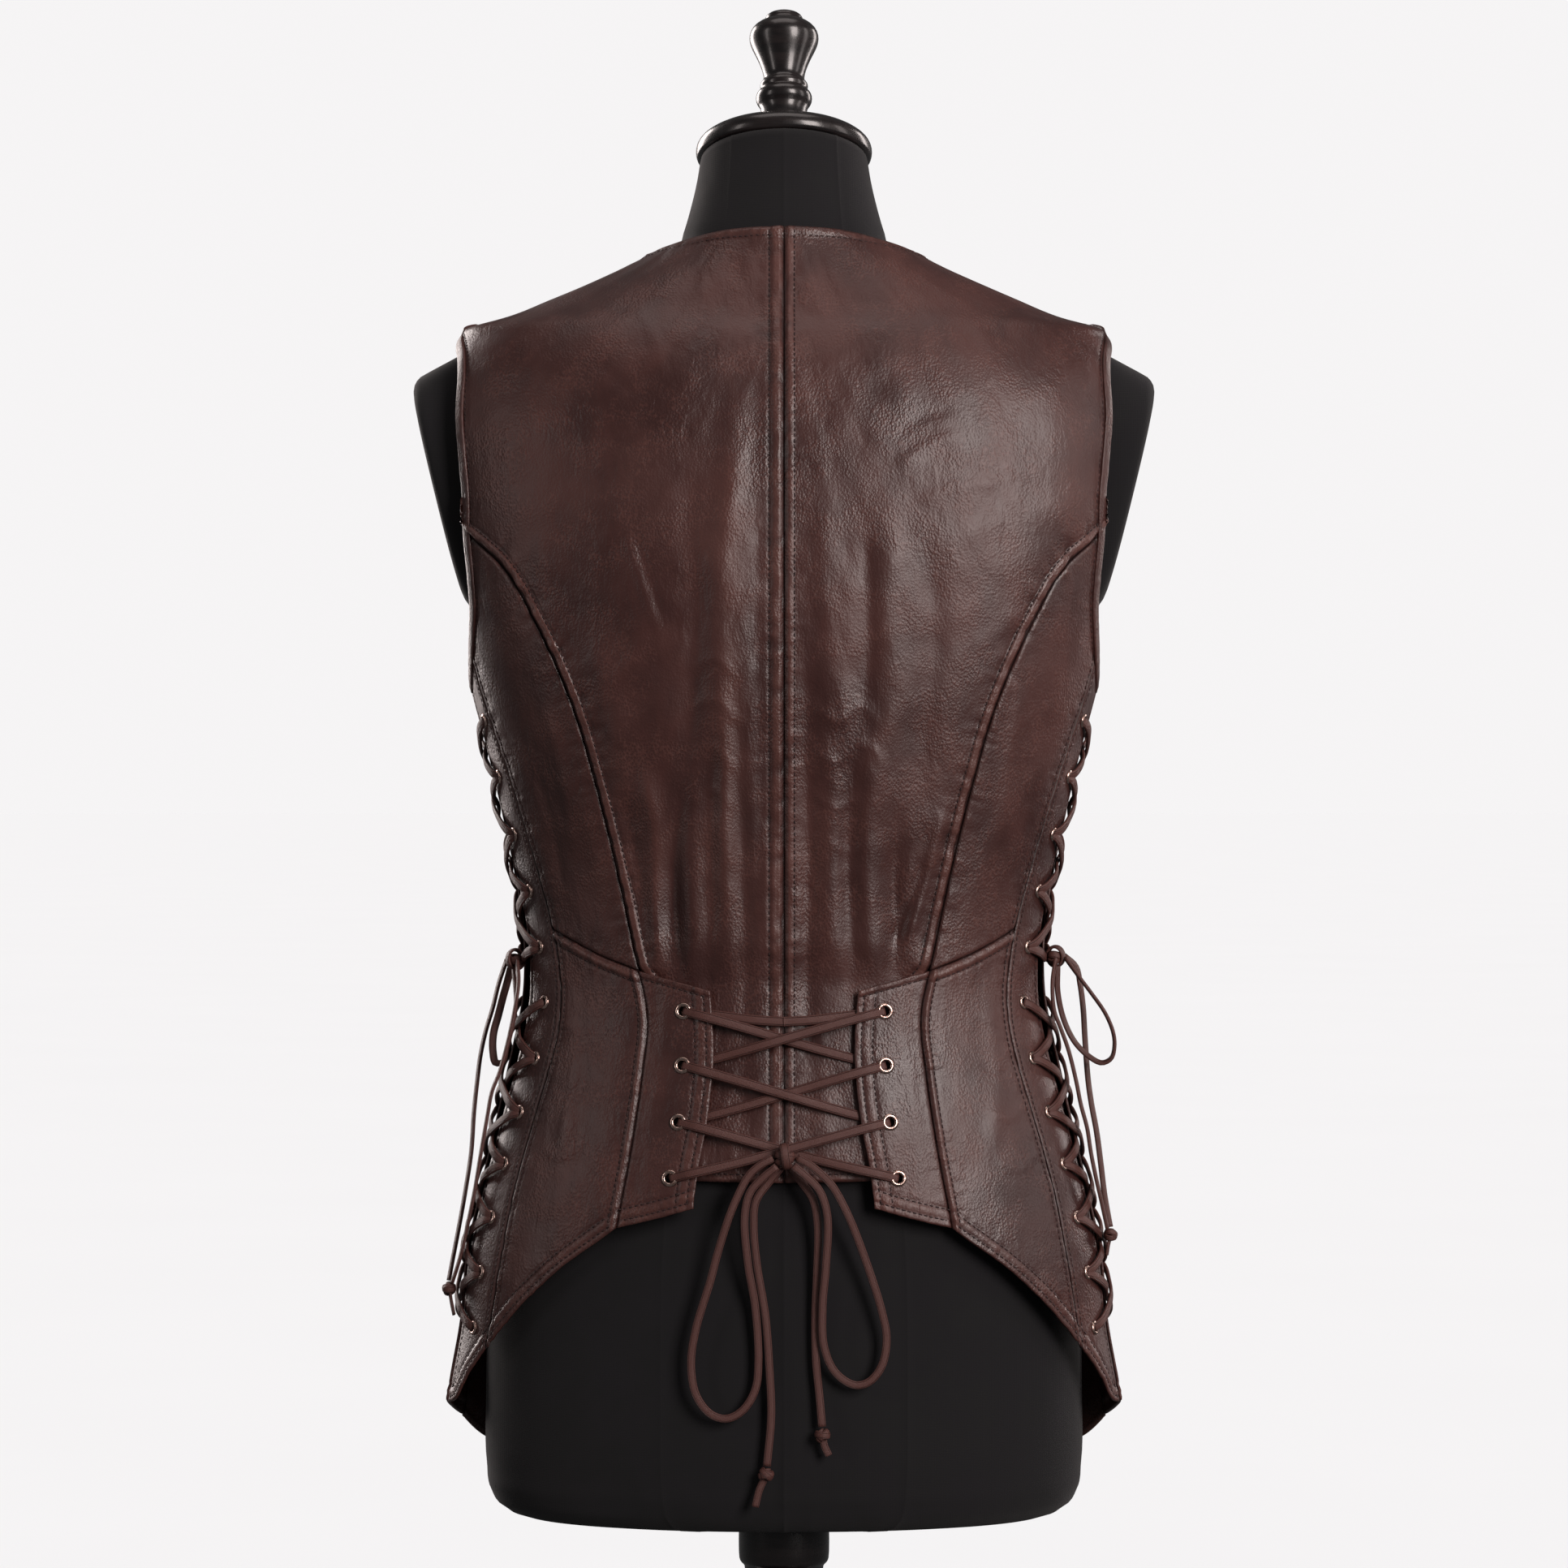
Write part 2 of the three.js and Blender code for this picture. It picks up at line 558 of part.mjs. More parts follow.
// Closed wall between an outer and an inner grid of points; `turned` splits
// its quads along their other diagonal.
function wallBetween(outer, inner, turned = false) {
  const rows = outer.length;
  const cols = outer[0].length;
  const positions = [];
  for (const grid of [outer, inner]) {
    for (const row of grid) {
      for (const point of row) positions.push(point.x, point.y, point.z);
    }
  }
  const index = [];
  const at = (side, j, i) => (side * rows + j) * cols + i;
  const quad = (a, b, c, d) => index.push(...(turned ? [a, b, d, b, c, d] : [a, b, c, a, c, d]));
  for (let j = 0; j < rows - 1; j += 1) {
    for (let i = 0; i < cols - 1; i += 1) {
      quad(at(0, j, i), at(0, j, i + 1), at(0, j + 1, i + 1), at(0, j + 1, i));
      quad(at(1, j, i), at(1, j + 1, i), at(1, j + 1, i + 1), at(1, j, i + 1));
    }
  }
  for (let i = 0; i < cols - 1; i += 1) {
    quad(at(0, 0, i), at(1, 0, i), at(1, 0, i + 1), at(0, 0, i + 1));
    quad(at(0, rows - 1, i), at(0, rows - 1, i + 1), at(1, rows - 1, i + 1), at(1, rows - 1, i));
  }
  for (let j = 0; j < rows - 1; j += 1) {
    quad(at(0, j, 0), at(0, j + 1, 0), at(1, j + 1, 0), at(1, j, 0));
    quad(at(0, j, cols - 1), at(1, j, cols - 1), at(1, j + 1, cols - 1), at(0, j + 1, cols - 1));
  }
  const geometry = new THREE.BufferGeometry();
  geometry.setAttribute('position', new THREE.Float32BufferAttribute(positions, 3));
  geometry.setIndex(index);
  return geometry;
}

// One cut panel: its patch, its outer points and its closed wall.
function panelOn(grid, liftAt) {
  const layer = (drop) => {
    const points = grid.map((row) => row.map((p) => onVest(p.turn, p.z, liftAt(p.turn, p.z) - drop)));
    pullIn(points);
    return points;
  };
  const outer = layer(0);
  return { grid, outer, geometry: wallBetween(outer, layer(LEATHER)) };
}

const flat = () => 0;

// ---- solids and booleans --------------------------------------------------

function solidOf(geometry) {
  const bare = geometry.clone();
  bare.deleteAttribute('normal');
  bare.deleteAttribute('uv');
  const merged = mergeVertices(bare, 1e-4);
  return new wasm.Manifold(new wasm.Mesh({
    numProp: 3,
    vertProperties: new Float32Array(merged.attributes.position.array),
    triVerts: new Uint32Array(merged.index.array),
  }));
}

function geometryOf(solid) {
  const mesh = solid.getMesh();
  const geometry = new THREE.BufferGeometry();
  geometry.setAttribute('position', new THREE.Float32BufferAttribute(mesh.vertProperties, 3));
  geometry.setIndex(Array.from(mesh.triVerts));
  return geometry;
}

function mirrored(geometry) {
  const copy = geometry.clone();
  copy.applyMatrix4(new THREE.Matrix4().makeScale(-1, 1, 1));
  const index = copy.index.array;
  for (let i = 0; i < index.length; i += 3) {
    const second = index[i + 1];
    index[i + 1] = index[i + 2];
    index[i + 2] = second;
  }
  return copy;
}

// A shape made round +Z is stood on the vest, its axis along the normal.
function standOnVest(geometry, turn, z, lift) {
  const facing = new THREE.Quaternion().setFromUnitVectors(
    new THREE.Vector3(0, 0, 1),
    vestNormal(turn, z),
  );
  const place = onVest(turn, z, lift);
  return geometry.applyQuaternion(facing).translate(place.x, place.y, place.z);
}

function uprightCylinder(radius, height, sides) {
  return new THREE.CylinderGeometry(radius, radius, height, sides).rotateX(Math.PI / 2);
}

function drilled(geometry, holes, radius, sides) {
  let solid = solidOf(geometry);
  for (const hole of holes) {
    const drill = standOnVest(uprightCylinder(radius, 12, sides), hole.turn, hole.z, 0);
    solid = solid.subtract(solidOf(drill));
  }
  return geometryOf(solid);
}

// ---- laces ----------------------------------------------------------------

// A curve sampled exactly at its listed points, so rings fall on them.
class Lace extends THREE.CatmullRomCurve3 {
  constructor(points, faces) {
    super(points, false, 'centripetal');
    this.faces = faces;
  }

  getPointAt(u, target) {
    return this.getPoint(u, target);
  }

  getTangentAt(u, target) {
    return this.getTangent(u, target);
  }

  // A flat lace keeps its broad side to the cloth.
  computeFrenetFrames(segments, closed) {
    if (!this.faces) return super.computeFrenetFrames(segments, closed);
    const frames = { tangents: [], normals: [], binormals: [] };
    for (let i = 0; i <= segments; i += 1) {
      const tangent = this.getTangent(i / segments);
      const binormal = tangent.clone().cross(this.faces[i]).normalize();
      frames.tangents.push(tangent);
      frames.binormals.push(binormal);
      frames.normals.push(binormal.clone().cross(tangent).normalize());
    }
    return frames;
  }
}

function strapShape() {
  const x = LACE.thick / 2;
  const y = LACE.wide / 2;
  const corners = [[x, -y], [x, y], [-x, y], [-x, -y]];
  return new THREE.Shape(corners.map(([a, b]) => new THREE.Vector2(a, b)));
}

function roundShape(radius, sides) {
  const corners = Array.from({ length: sides }, (_, i) => (2 * Math.PI * i) / sides);
  return new THREE.Shape(corners.map((a) => new THREE.Vector2(
    radius * Math.cos(a),
    radius * Math.sin(a),
  )));
}

function swept(points, shape, faces) {
  const lace = new Lace(points, faces);
  const settings = { steps: points.length - 1, extrudePath: lace, bevelEnabled: false };
  return new THREE.ExtrudeGeometry(shape, settings);
}

function roundCord(route) {
  return swept(route.map((p) => new THREE.Vector3(...p)), roundShape(CORD_RADIUS, 8), null);
}

// One stretch of flat lace: stations are turn, z and lift on the vest.
function laceStretch(stations) {
  const points = stations.map((s) => onVest(s.turn, s.z, s.lift));
  const faces = stations.map((s) => vestNormal(s.turn, s.z));
  return solidOf(swept(points, strapShape(), faces));
}

function lacePlug(turn, z, low, high) {
  const plug = uprightCylinder(LACE.wide / 2, high - low, 8);
  return solidOf(standOnVest(plug, turn, z, (low + high) / 2));
}

function join(solids) {
  return geometryOf(solids.reduce((whole, next) => whole.add(next)));
}

// ---- pieces ---------------------------------------------------------------

const group = new THREE.Group();

function addPiece(name, geometry, material) {
  const mesh = new THREE.Mesh(geometry, new THREE.MeshStandardMaterial(COLOURS[material]));
  mesh.name = name;
  group.add(mesh);
}

const SEGMENTS = { hidden: 4, princess: 10, armhole: 6, shoulder: 3, neck: 6, waist: 5 };
const BAND = { upper: 7, lower: 10 };

const line = {
  princess: sampleLine(LINES.princess, SEGMENTS.princess),
  armholeUpper: sampleLine(LINES.armholeUpper, SEGMENTS.armhole),
  bandSeamUpper: sampleLine(LINES.bandSeamUpper, BAND.upper),
  bandSeamLower: sampleLine(LINES.bandSeamLower, BAND.lower),
  waist: sampleLine(LINES.waist, SEGMENTS.waist),
  shoulder: sampleLine(LINES.shoulder, SEGMENTS.shoulder),
  tabSeam: sampleLine(LINES.tabSeam, BAND.lower),
};

function backCentre(folds) {
  const side = chain(
    sampleLine(LINES.underTab, SEGMENTS.hidden),
    line.princess,
    line.armholeUpper,
  );
  const top = chain(line.shoulder, sampleLine(LINES.neckBack, SEGMENTS.neck));
  const bottom = sampleLine(LINES.centreHem, top.length - 1);
  const grid = patch(bottom, top, side, sampleLine(LINES.centreBack, side.length - 1));
  return panelOn(grid, (turn, z) => centreLift(turn, z, folds));
}

function backSide() {
  const top = sampleLine(LINES.armholeSide, SEGMENTS.waist);
  const left = sampleLine(LINES.bandSeamUpper, SEGMENTS.princess);
  return panelOn(patch(line.waist, top, left, line.princess), flat);
}

function peplum() {
  const bottom = sampleLine(LINES.peplumHem, SEGMENTS.waist);
  return panelOn(patch(bottom, line.waist, line.bandSeamLower, line.tabSeam), flat);
}

function lacingTab() {
  const bottom = sampleLine(LINES.tabHem, 5);
  const top = sampleLine(LINES.tabTop, 5);
  const edge = sampleLine(LINES.tabEdge, BAND.lower);
  const tab = panelOn(patch(bottom, top, line.tabSeam, edge), tabLift);
  return { ...tab, geometry: drilled(tab.geometry, BACK_EYELETS, TAB_HOLE, 8) };
}

function sideBandBack() {
  const seam = chain(line.bandSeamLower, line.bandSeamUpper);
  const edge = sampleLine(LINES.bandEdge, seam.length - 1);
  const grid = patch(sampleLine(LINES.bandHem, 2), sampleLine(LINES.armholeBand, 2), edge, seam);
  return panelOn(grid, flat);
}

const frontSeam = chain(
  sampleLine(LINES.frontBandSeamLower, BAND.lower),
  sampleLine(LINES.frontBandSeamUpper, BAND.upper),
);

function sideBandFront() {
  const edge = sampleLine(LINES.frontBandEdge, frontSeam.length - 1);
  const hem = sampleLine(LINES.frontBandHem, 2).reverse();
  const top = sampleLine(LINES.armholeFrontBand, 2).reverse();
  return panelOn(patch(hem, top, frontSeam, edge), flat);
}

function frontPanel() {
  const side = chain(frontSeam, sampleLine(LINES.armholeFront, 14));
  const centre = sampleLine(LINES.centreFront, side.length - 1);
  const top = chain(line.shoulder, sampleLine(LINES.neckFront, 4)).reverse();
  const bottom = sampleLine(LINES.frontHem, top.length - 1).reverse();
  return panelOn(patch(bottom, top, centre, side), flat);
}

// Stations along one edge of a panel: each holds the edge point, the point
// one binding width into the panel and the way out of the surface.
function edgeStations(panel, edgeAt, innerAt, count) {
  return Array.from({ length: count }, (_, k) => {
    const [j, i] = edgeAt(k);
    const [nextJ, nextI] = innerAt(k);
    const edge = panel.outer[j][i];
    const inward = panel.outer[nextJ][nextI].clone().sub(edge).setLength(BINDING.width);
    const { turn, z } = panel.grid[j][i];
    return { edge, inner: edge.clone().add(inward), out: vestNormal(turn, z) };
  });
}

function topStations(panel, from, to) {
  const last = panel.outer.length - 1;
  return edgeStations(panel, (k) => [last, from + k], (k) => [last - 1, from + k], to - from + 1);
}

function sideStations(panel, from, column, neighbour) {
  const count = panel.outer.length - from;
  return edgeStations(panel, (k) => [from + k, column], (k) => [from + k, neighbour], count);
}

// A strip on the panels' own edge points, moved out; the panel is on its right.
function stripAlong(stations) {
  const layer = (lift) => ['inner', 'edge'].map((key) => (
    stations.map((s) => s[key].clone().addScaledVector(s.out, lift))
  ));
  return wallBetween(layer(BINDING.clear + BINDING.wall), layer(BINDING.clear), true);
}

function armholeBinding(centre, side, backBand, front, frontBand) {
  const stations = [
    ...topStations(backBand, 0, 1),
    ...topStations(side, 0, SEGMENTS.waist),
    ...sideStations(centre, centre.outer.length - SEGMENTS.armhole, 0, 1),
  ];
  const lastColumn = front.outer[0].length - 1;
  const fore = [
    ...topStations(frontBand, 0, 2).reverse(),
    ...sideStations(front, frontSeam.length, lastColumn, lastColumn - 1),
  ];
  return stripAlong([...stations, ...fore.reverse()]);
}

const centre = { left: backCentre(FOLDS.left), right: backCentre(FOLDS.right) };
const panels = {
  back_side: backSide(),
  peplum: peplum(),
  lacing_tab: lacingTab(),
  side_band_back: sideBandBack(),
  side_band_front: sideBandFront(),
  front: frontPanel(),
};
const { back_side: side, side_band_back: backBand, side_band_front: frontBand, front } = panels;
const binding = {
  left: armholeBinding(centre.left, side, backBand, front, frontBand),
  right: armholeBinding(centre.right, side, backBand, front, frontBand),
};
addPiece('back_centre_left', centre.left.geometry, 'leather');
addPiece('back_centre_right', mirrored(centre.right.geometry), 'leather');
for (const [name, { geometry }] of Object.entries(panels)) {
  addPiece(`${name}_left`, geometry, 'leather');
  addPiece(`${name}_right`, mirrored(geometry), 'leather');
}
addPiece('armhole_binding_left', binding.left, 'leather');
addPiece('armhole_binding_right', mirrored(binding.right), 'leather');

// ---- back eyelets and lacing ----------------------------------------------

function eyelet() {
  const { bore, barrel, flange, clear, height } = EYELET;
  const profile = [[bore, -LEATHER], [barrel, -LEATHER], [barrel, clear], [flange, clear],
    [flange - 0.6, height], [bore, height], [bore, -LEATHER]];
  const points = profile.map(([r, z]) => new THREE.Vector2(r, z));
  return new THREE.LatheGeometry(points, 8).rotateX(Math.PI / 2);
}

BACK_EYELETS.forEach((row, i) => {
  const ring = standOnVest(eyelet(), row.turn, row.z, TAB_LIFT);
  const closed = geometryOf(solidOf(ring));
  addPiece(`back_eyelet_left_${i + 1}`, closed, 'copper');
  addPiece(`back_eyelet_right_${i + 1}`, mirrored(closed), 'copper');
});

const HALF_LACE = LACE.thick / 2;
const OVER = TAB_LIFT + EYELET.height + EYELET.clear + HALF_LACE;
const UNDER = TAB_LIFT - LEATHER - EYELET.clear - HALF_LACE;
const BAR_LIFT = -0.7;
const CROSSING = { under: -0.9, over: 2.1 };

// A stretch from the top of one eyelet, over the gap, to below the next one.
function crossing(from, to, height, hold) {
  const across = (share) => ({
    turn: from.turn + (to.turn - from.turn) * share,
    z: from.z + (to.z - from.z) * share,
  });
  return [
    { ...from, lift: OVER },
    { ...across(0.14), lift: OVER },
    { ...across(0.28), lift: (OVER + height) / 2 },
    { ...across(0.42), lift: height },
    { ...across(0.58), lift: height },
    { ...across(0.72), lift: hold ? (OVER + height) / 2 : (UNDER + height) / 2 },
    { ...across(0.86), lift: hold ? OVER : UNDER },
    { ...to, lift: hold ? OVER : UNDER },
  ];
}

// The lace of one side: from the bar down through three crossings.
function backLace(height) {
  const near = BACK_EYELETS;
  const far = near.map((row) => ({ turn: 180 - row.turn, z: row.z }));
  const stops = [near[0], far[1], near[2], far[3]];
  const bar = [
    { turn: 89.7, z: 594, lift: BAR_LIFT },
    { turn: 80, z: 595, lift: BAR_LIFT },
    { turn: 68, z: 597.5, lift: UNDER + 0.4 },
    { turn: near[0].turn, z: near[0].z, lift: UNDER },
  ];
  const solids = [laceStretch(bar)];
  for (let i = 0; i < 3; i += 1) {
    solids.push(laceStretch(crossing(stops[i], stops[i + 1], height, i === 2)));
    solids.push(lacePlug(stops[i].turn, stops[i].z, UNDER, OVER));
  }
  return join(solids);
}

addPiece('back_lace_left', backLace(CROSSING.under), 'lace');
addPiece('back_lace_right', mirrored(backLace(CROSSING.over)), 'lace');

// ---- side lacing ----------------------------------------------------------

// Each side is laced in two lots, above and below its bow, by two laces that
// start on opposite bands and cross in the gap, one over the other. The upper
// pair ends at the bow's knot.
const SIDE_LIFT = { band: 2.35, over: 3, under: -0.6, knot: 3.4 };
const LOTS = {
  upper: { rows: SIDE_EYELETS.slice(0, 5), ends: { back: 6.7, front: 3.3 }, endZ: 631.5 },
  lower: { rows: SIDE_EYELETS.slice(5), ends: null, endZ: 0 },
};

function sideLace({ rows, ends, endZ }, startsBehind, height) {
  const bandAt = (i) => ((i % 2 === 0) === startsBehind ? 'back' : 'front');
  const stations = [];
  rows.forEach((row, i) => {
    const from = { turn: row[bandAt(i)], z: row.z };
    const next = rows[i + 1];
    stations.push({ ...from, lift: SIDE_LIFT.band });
    if (!next) return;
    const to = { turn: next[bandAt(i + 1)], z: next.z };
    for (const [share, lift] of [[0.28, SIDE_LIFT.band], [0.5, height], [0.72, SIDE_LIFT.band]]) {
      stations.push({
        turn: from.turn + (to.turn - from.turn) * share,
        z: from.z + (to.z - from.z) * share,
        lift,
      });
    }
  });
  if (ends) {
    const from = stations.at(-1);
    const turn = ends[bandAt(rows.length - 1)];
    for (const [share, lift] of [[0.5, SIDE_LIFT.knot], [1, SIDE_LIFT.band]]) {
      stations.push({
        turn: from.turn + (turn - from.turn) * share,
        z: from.z + (endZ - from.z) * share,
        lift,
      });
    }
  }
  return geometryOf(laceStretch(stations));
}

for (const [lot, table] of Object.entries(LOTS)) {
  const over = sideLace(table, true, SIDE_LIFT.over);
  const under = sideLace(table, false, SIDE_LIFT.under);
  addPiece(`side_lace_${lot}_over_left`, over, 'lace');
  addPiece(`side_lace_${lot}_over_right`, mirrored(over), 'lace');
  addPiece(`side_lace_${lot}_under_left`, under, 'lace');
  addPiece(`side_lace_${lot}_under_right`, mirrored(under), 'lace');
}

// ---- free laces and knots -------------------------------------------------

for (const [name, route] of Object.entries(ROUTES)) {
  addPiece(name, roundCord(route), 'lace');
}

for (const { name, centre, size } of BOW_KNOTS) {
  const ball = new THREE.SphereGeometry(1, 10, 7).scale(...size).translate(...centre);
  addPiece(name, geometryOf(solidOf(ball)), 'lace');
}

for (const { name, centre, end } of END_KNOTS) {
  const start = new THREE.Vector3(...centre);
  const reach = new THREE.Vector3(...end).sub(start);
  const { radius, cut } = END_KNOT;
  const profile = [[0, -radius], [radius * 0.75, -radius * 0.66], [radius, 0],
    [radius * 0.75, radius * 0.66], [cut, radius * 0.9], [cut, reach.length()],
    [0, reach.length()]];
  const points = profile.map(([r, z]) => new THREE.Vector2(r, z));
  const knot = new THREE.LatheGeometry(points, 8).rotateX(Math.PI / 2);
  knot.applyQuaternion(new THREE.Quaternion().setFromUnitVectors(
    new THREE.Vector3(0, 0, 1),
    reach.normalize(),
  ));
  addPiece(name, geometryOf(solidOf(knot.translate(...centre))), 'lace');
}

// ---- dress form and stand -------------------------------------------------

function closedRings(rings) {
  const count = rings[0].length;
  const positions = [];
  for (const ring of rings) {
    for (const point of ring) positions.push(point.x, point.y, point.z);
  }
  const index = [];
  for (let j = 0; j < rings.length - 1; j += 1) {
    for (let i = 0; i < count; i += 1) {
      const a = j * count + i;
      const b = j * count + ((i + 1) % count);
      index.push(a, b, b + count, a, b + count, a + count);
    }
  }
  for (const [ring, start, up] of [[rings[0], 0, false], [rings.at(-1), (rings.length - 1) * count, true]]) {
    const middle = ring.reduce((sum, p) => sum.add(p), new THREE.Vector3()).divideScalar(count);
    const hub = positions.length / 3;
    positions.push(middle.x, middle.y, middle.z);
    for (let i = 0; i < count; i += 1) {
      const next = start + ((i + 1) % count);
      index.push(hub, ...(up ? [start + i, next] : [next, start + i]));
    }
  }
  const geometry = new THREE.BufferGeometry();
  geometry.setAttribute('position', new THREE.Float32BufferAttribute(positions, 3));
  geometry.setIndex(index);
  return geometry;
}

function formTorso() {
  const sides = 28;
  const rings = FORM_SECTIONS.map((section) => {
    const lean = Math.tan(THREE.MathUtils.degToRad(section.tilt));
    return Array.from({ length: sides }, (_, i) => {
      const point = ringPoint(form, (360 * i) / sides, section.z);
      return new THREE.Vector3(point.x, point.y + section.shift, section.z + point.y * lean);
    });
  });
  return closedRings(rings);
}

function armStump() {
  const sides = 16;
  const rings = STUMP_RINGS.map(({ shift, low, high, depth }) => {
    const middle = (low + high) / 2;
    const reach = (high - low) / 2;
    return Array.from({ length: sides }, (_, i) => {
      const angle = (2 * Math.PI * i) / sides;
      const round = (value) => Math.sign(value) * Math.abs(value) ** 0.85;
      const y = depth * round(Math.cos(angle));
      const z = middle + reach * round(Math.sin(angle));
      return new THREE.Vector3(STUMP.x + shift + STUMP.slope * (z - STUMP.z), y, z);
    });
  });
  return closedRings(rings);
}

function lathe(profile, sides) {
  const points = profile.map(([r, z]) => new THREE.Vector2(r, z));
  return new THREE.LatheGeometry(points, sides).rotateX(Math.PI / 2);
}

// The cap and finial share the neck's leaning axis.
function leanOnNeck(geometry) {
  const lean = THREE.MathUtils.degToRad(NECK_TILT);
  return geometry.rotateX(lean).translate(0, NECK_TOP.y, NECK_TOP.z);
}

const CAP_PROFILE = [[0, 0.4], [NECK_TOP.radius, 0.4], [56.6, 2.8], [57.4, 6.8], [56, 10.8],
  [52, 13.4], [40, 14.5], [0, 14.7]];
const FINIAL_PROFILE = [[0, 15], [19, 15], [19.2, 20], [15.4, 26], [14.5, 33], [17.2, 38],
  [18.3, 44.5], [16, 50.5], [13.2, 55.5], [13.6, 60], [17, 68], [21, 76], [23, 84],
  [21.6, 91], [17, 96], [12.8, 98], [12.6, 100], [8.5, 103.8], [0, 105.4]];
const POLE_PROFILE = [[0, BASE.height + 0.3], [33, BASE.height + 0.3], [33, 42], [25, 52],
  [22, 80], [22, 150], [24.7, 205], [24.7, 238], [28, 240], [29.4, 244], [29.4, 265],
  [27, POLE_TOP], [0, POLE_TOP]];
const BASE_PROFILE = [[0, 0], [BASE.radius, 0], [BASE.radius, 10], [184, 17], [120, 24],
  [60, 29], [48, BASE.height], [0, BASE.height]];

const torso = solidOf(formTorso());
const stump = armStump();
const wholeForm = torso.add(solidOf(stump)).add(solidOf(mirrored(stump)));
addPiece('form_body', geometryOf(wholeForm), 'cloth');
addPiece('neck_cap', leanOnNeck(geometryOf(solidOf(lathe(CAP_PROFILE, 24)))), 'lacquer');
addPiece('finial', leanOnNeck(geometryOf(solidOf(lathe(FINIAL_PROFILE, 14)))), 'lacquer');
addPiece('pole', geometryOf(solidOf(lathe(POLE_PROFILE, 14))), 'lacquer');
addPiece('base', geometryOf(solidOf(lathe(BASE_PROFILE, 28))), 'lacquer');

export default group;
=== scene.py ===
"""A leather vest with a laced back and laced sides, worn by a limbless dress form.

Sizes are in millimetres until a mesh is written, which is in metres.
Left is the wearer's left, on +X; the back is on +Y.
"""

import math

import bpy
import numpy as np
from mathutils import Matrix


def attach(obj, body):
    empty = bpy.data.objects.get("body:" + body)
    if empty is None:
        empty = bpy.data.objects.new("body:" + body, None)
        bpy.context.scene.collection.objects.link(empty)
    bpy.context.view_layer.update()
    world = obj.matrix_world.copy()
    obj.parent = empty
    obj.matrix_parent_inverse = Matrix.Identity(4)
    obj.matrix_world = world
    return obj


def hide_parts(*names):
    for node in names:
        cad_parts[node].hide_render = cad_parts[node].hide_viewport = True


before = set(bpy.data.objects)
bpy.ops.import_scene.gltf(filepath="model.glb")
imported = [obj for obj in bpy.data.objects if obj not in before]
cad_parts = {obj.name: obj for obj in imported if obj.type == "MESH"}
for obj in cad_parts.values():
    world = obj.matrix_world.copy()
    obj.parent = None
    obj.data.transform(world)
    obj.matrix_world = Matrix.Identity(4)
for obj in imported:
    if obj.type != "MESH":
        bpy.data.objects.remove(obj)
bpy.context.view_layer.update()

MM = 0.001
LEATHER = 1.6
TAB_LIFT = 1.0
TUCK = 4.2
LACE_WIDE, LACE_THICK = 6.2, 2.5
FREE_WIDE, FREE_THICK = 5.0, 2.4
NECK_TILT = 15.0
NECK_TOP = (0.0, -12.0, 1147.0)

# z, half width, depth behind, depth before, power
VEST_SECTIONS = [
    (250, 225, 127, 130, 2.25), (300, 222, 126, 130, 2.25), (350, 217.6, 123, 127, 2.25),
    (397, 209.5, 119, 122, 2.25), (439, 205.5, 116, 119, 2.25), (477, 197.5, 113, 116, 2.25),
    (522, 187, 108, 111, 2.2), (560, 178.5, 102, 107, 2.15), (611, 168.6, 96, 103, 2.1),
    (641, 168.4, 96, 104, 2.1), (688, 175, 100, 110, 2.15), (725, 183, 105, 117, 2.2),
    (761, 191, 110, 122, 2.25), (803, 202, 115, 126, 2.3), (856, 213, 119, 126, 2.35),
    (925, 224, 118, 119, 2.4), (988, 225, 108, 104, 2.4), (1015, 218, 99, 92, 2.35),
    (1030, 209.3, 91, 84, 2.3), (1037, 204.5, 86, 79, 2.25), (1044, 180, 82, 75, 2.2),
    (1055, 152, 77, 68, 2.15), (1066, 126, 72, 61, 2.1), (1076, 104, 68, 55, 2.05), (1084, 89, 65, 51, 2),
    (1092, 76, 62.5, 48, 2), (1100, 69, 61, 46, 2), (1110, 65, 60, 45, 2),
]

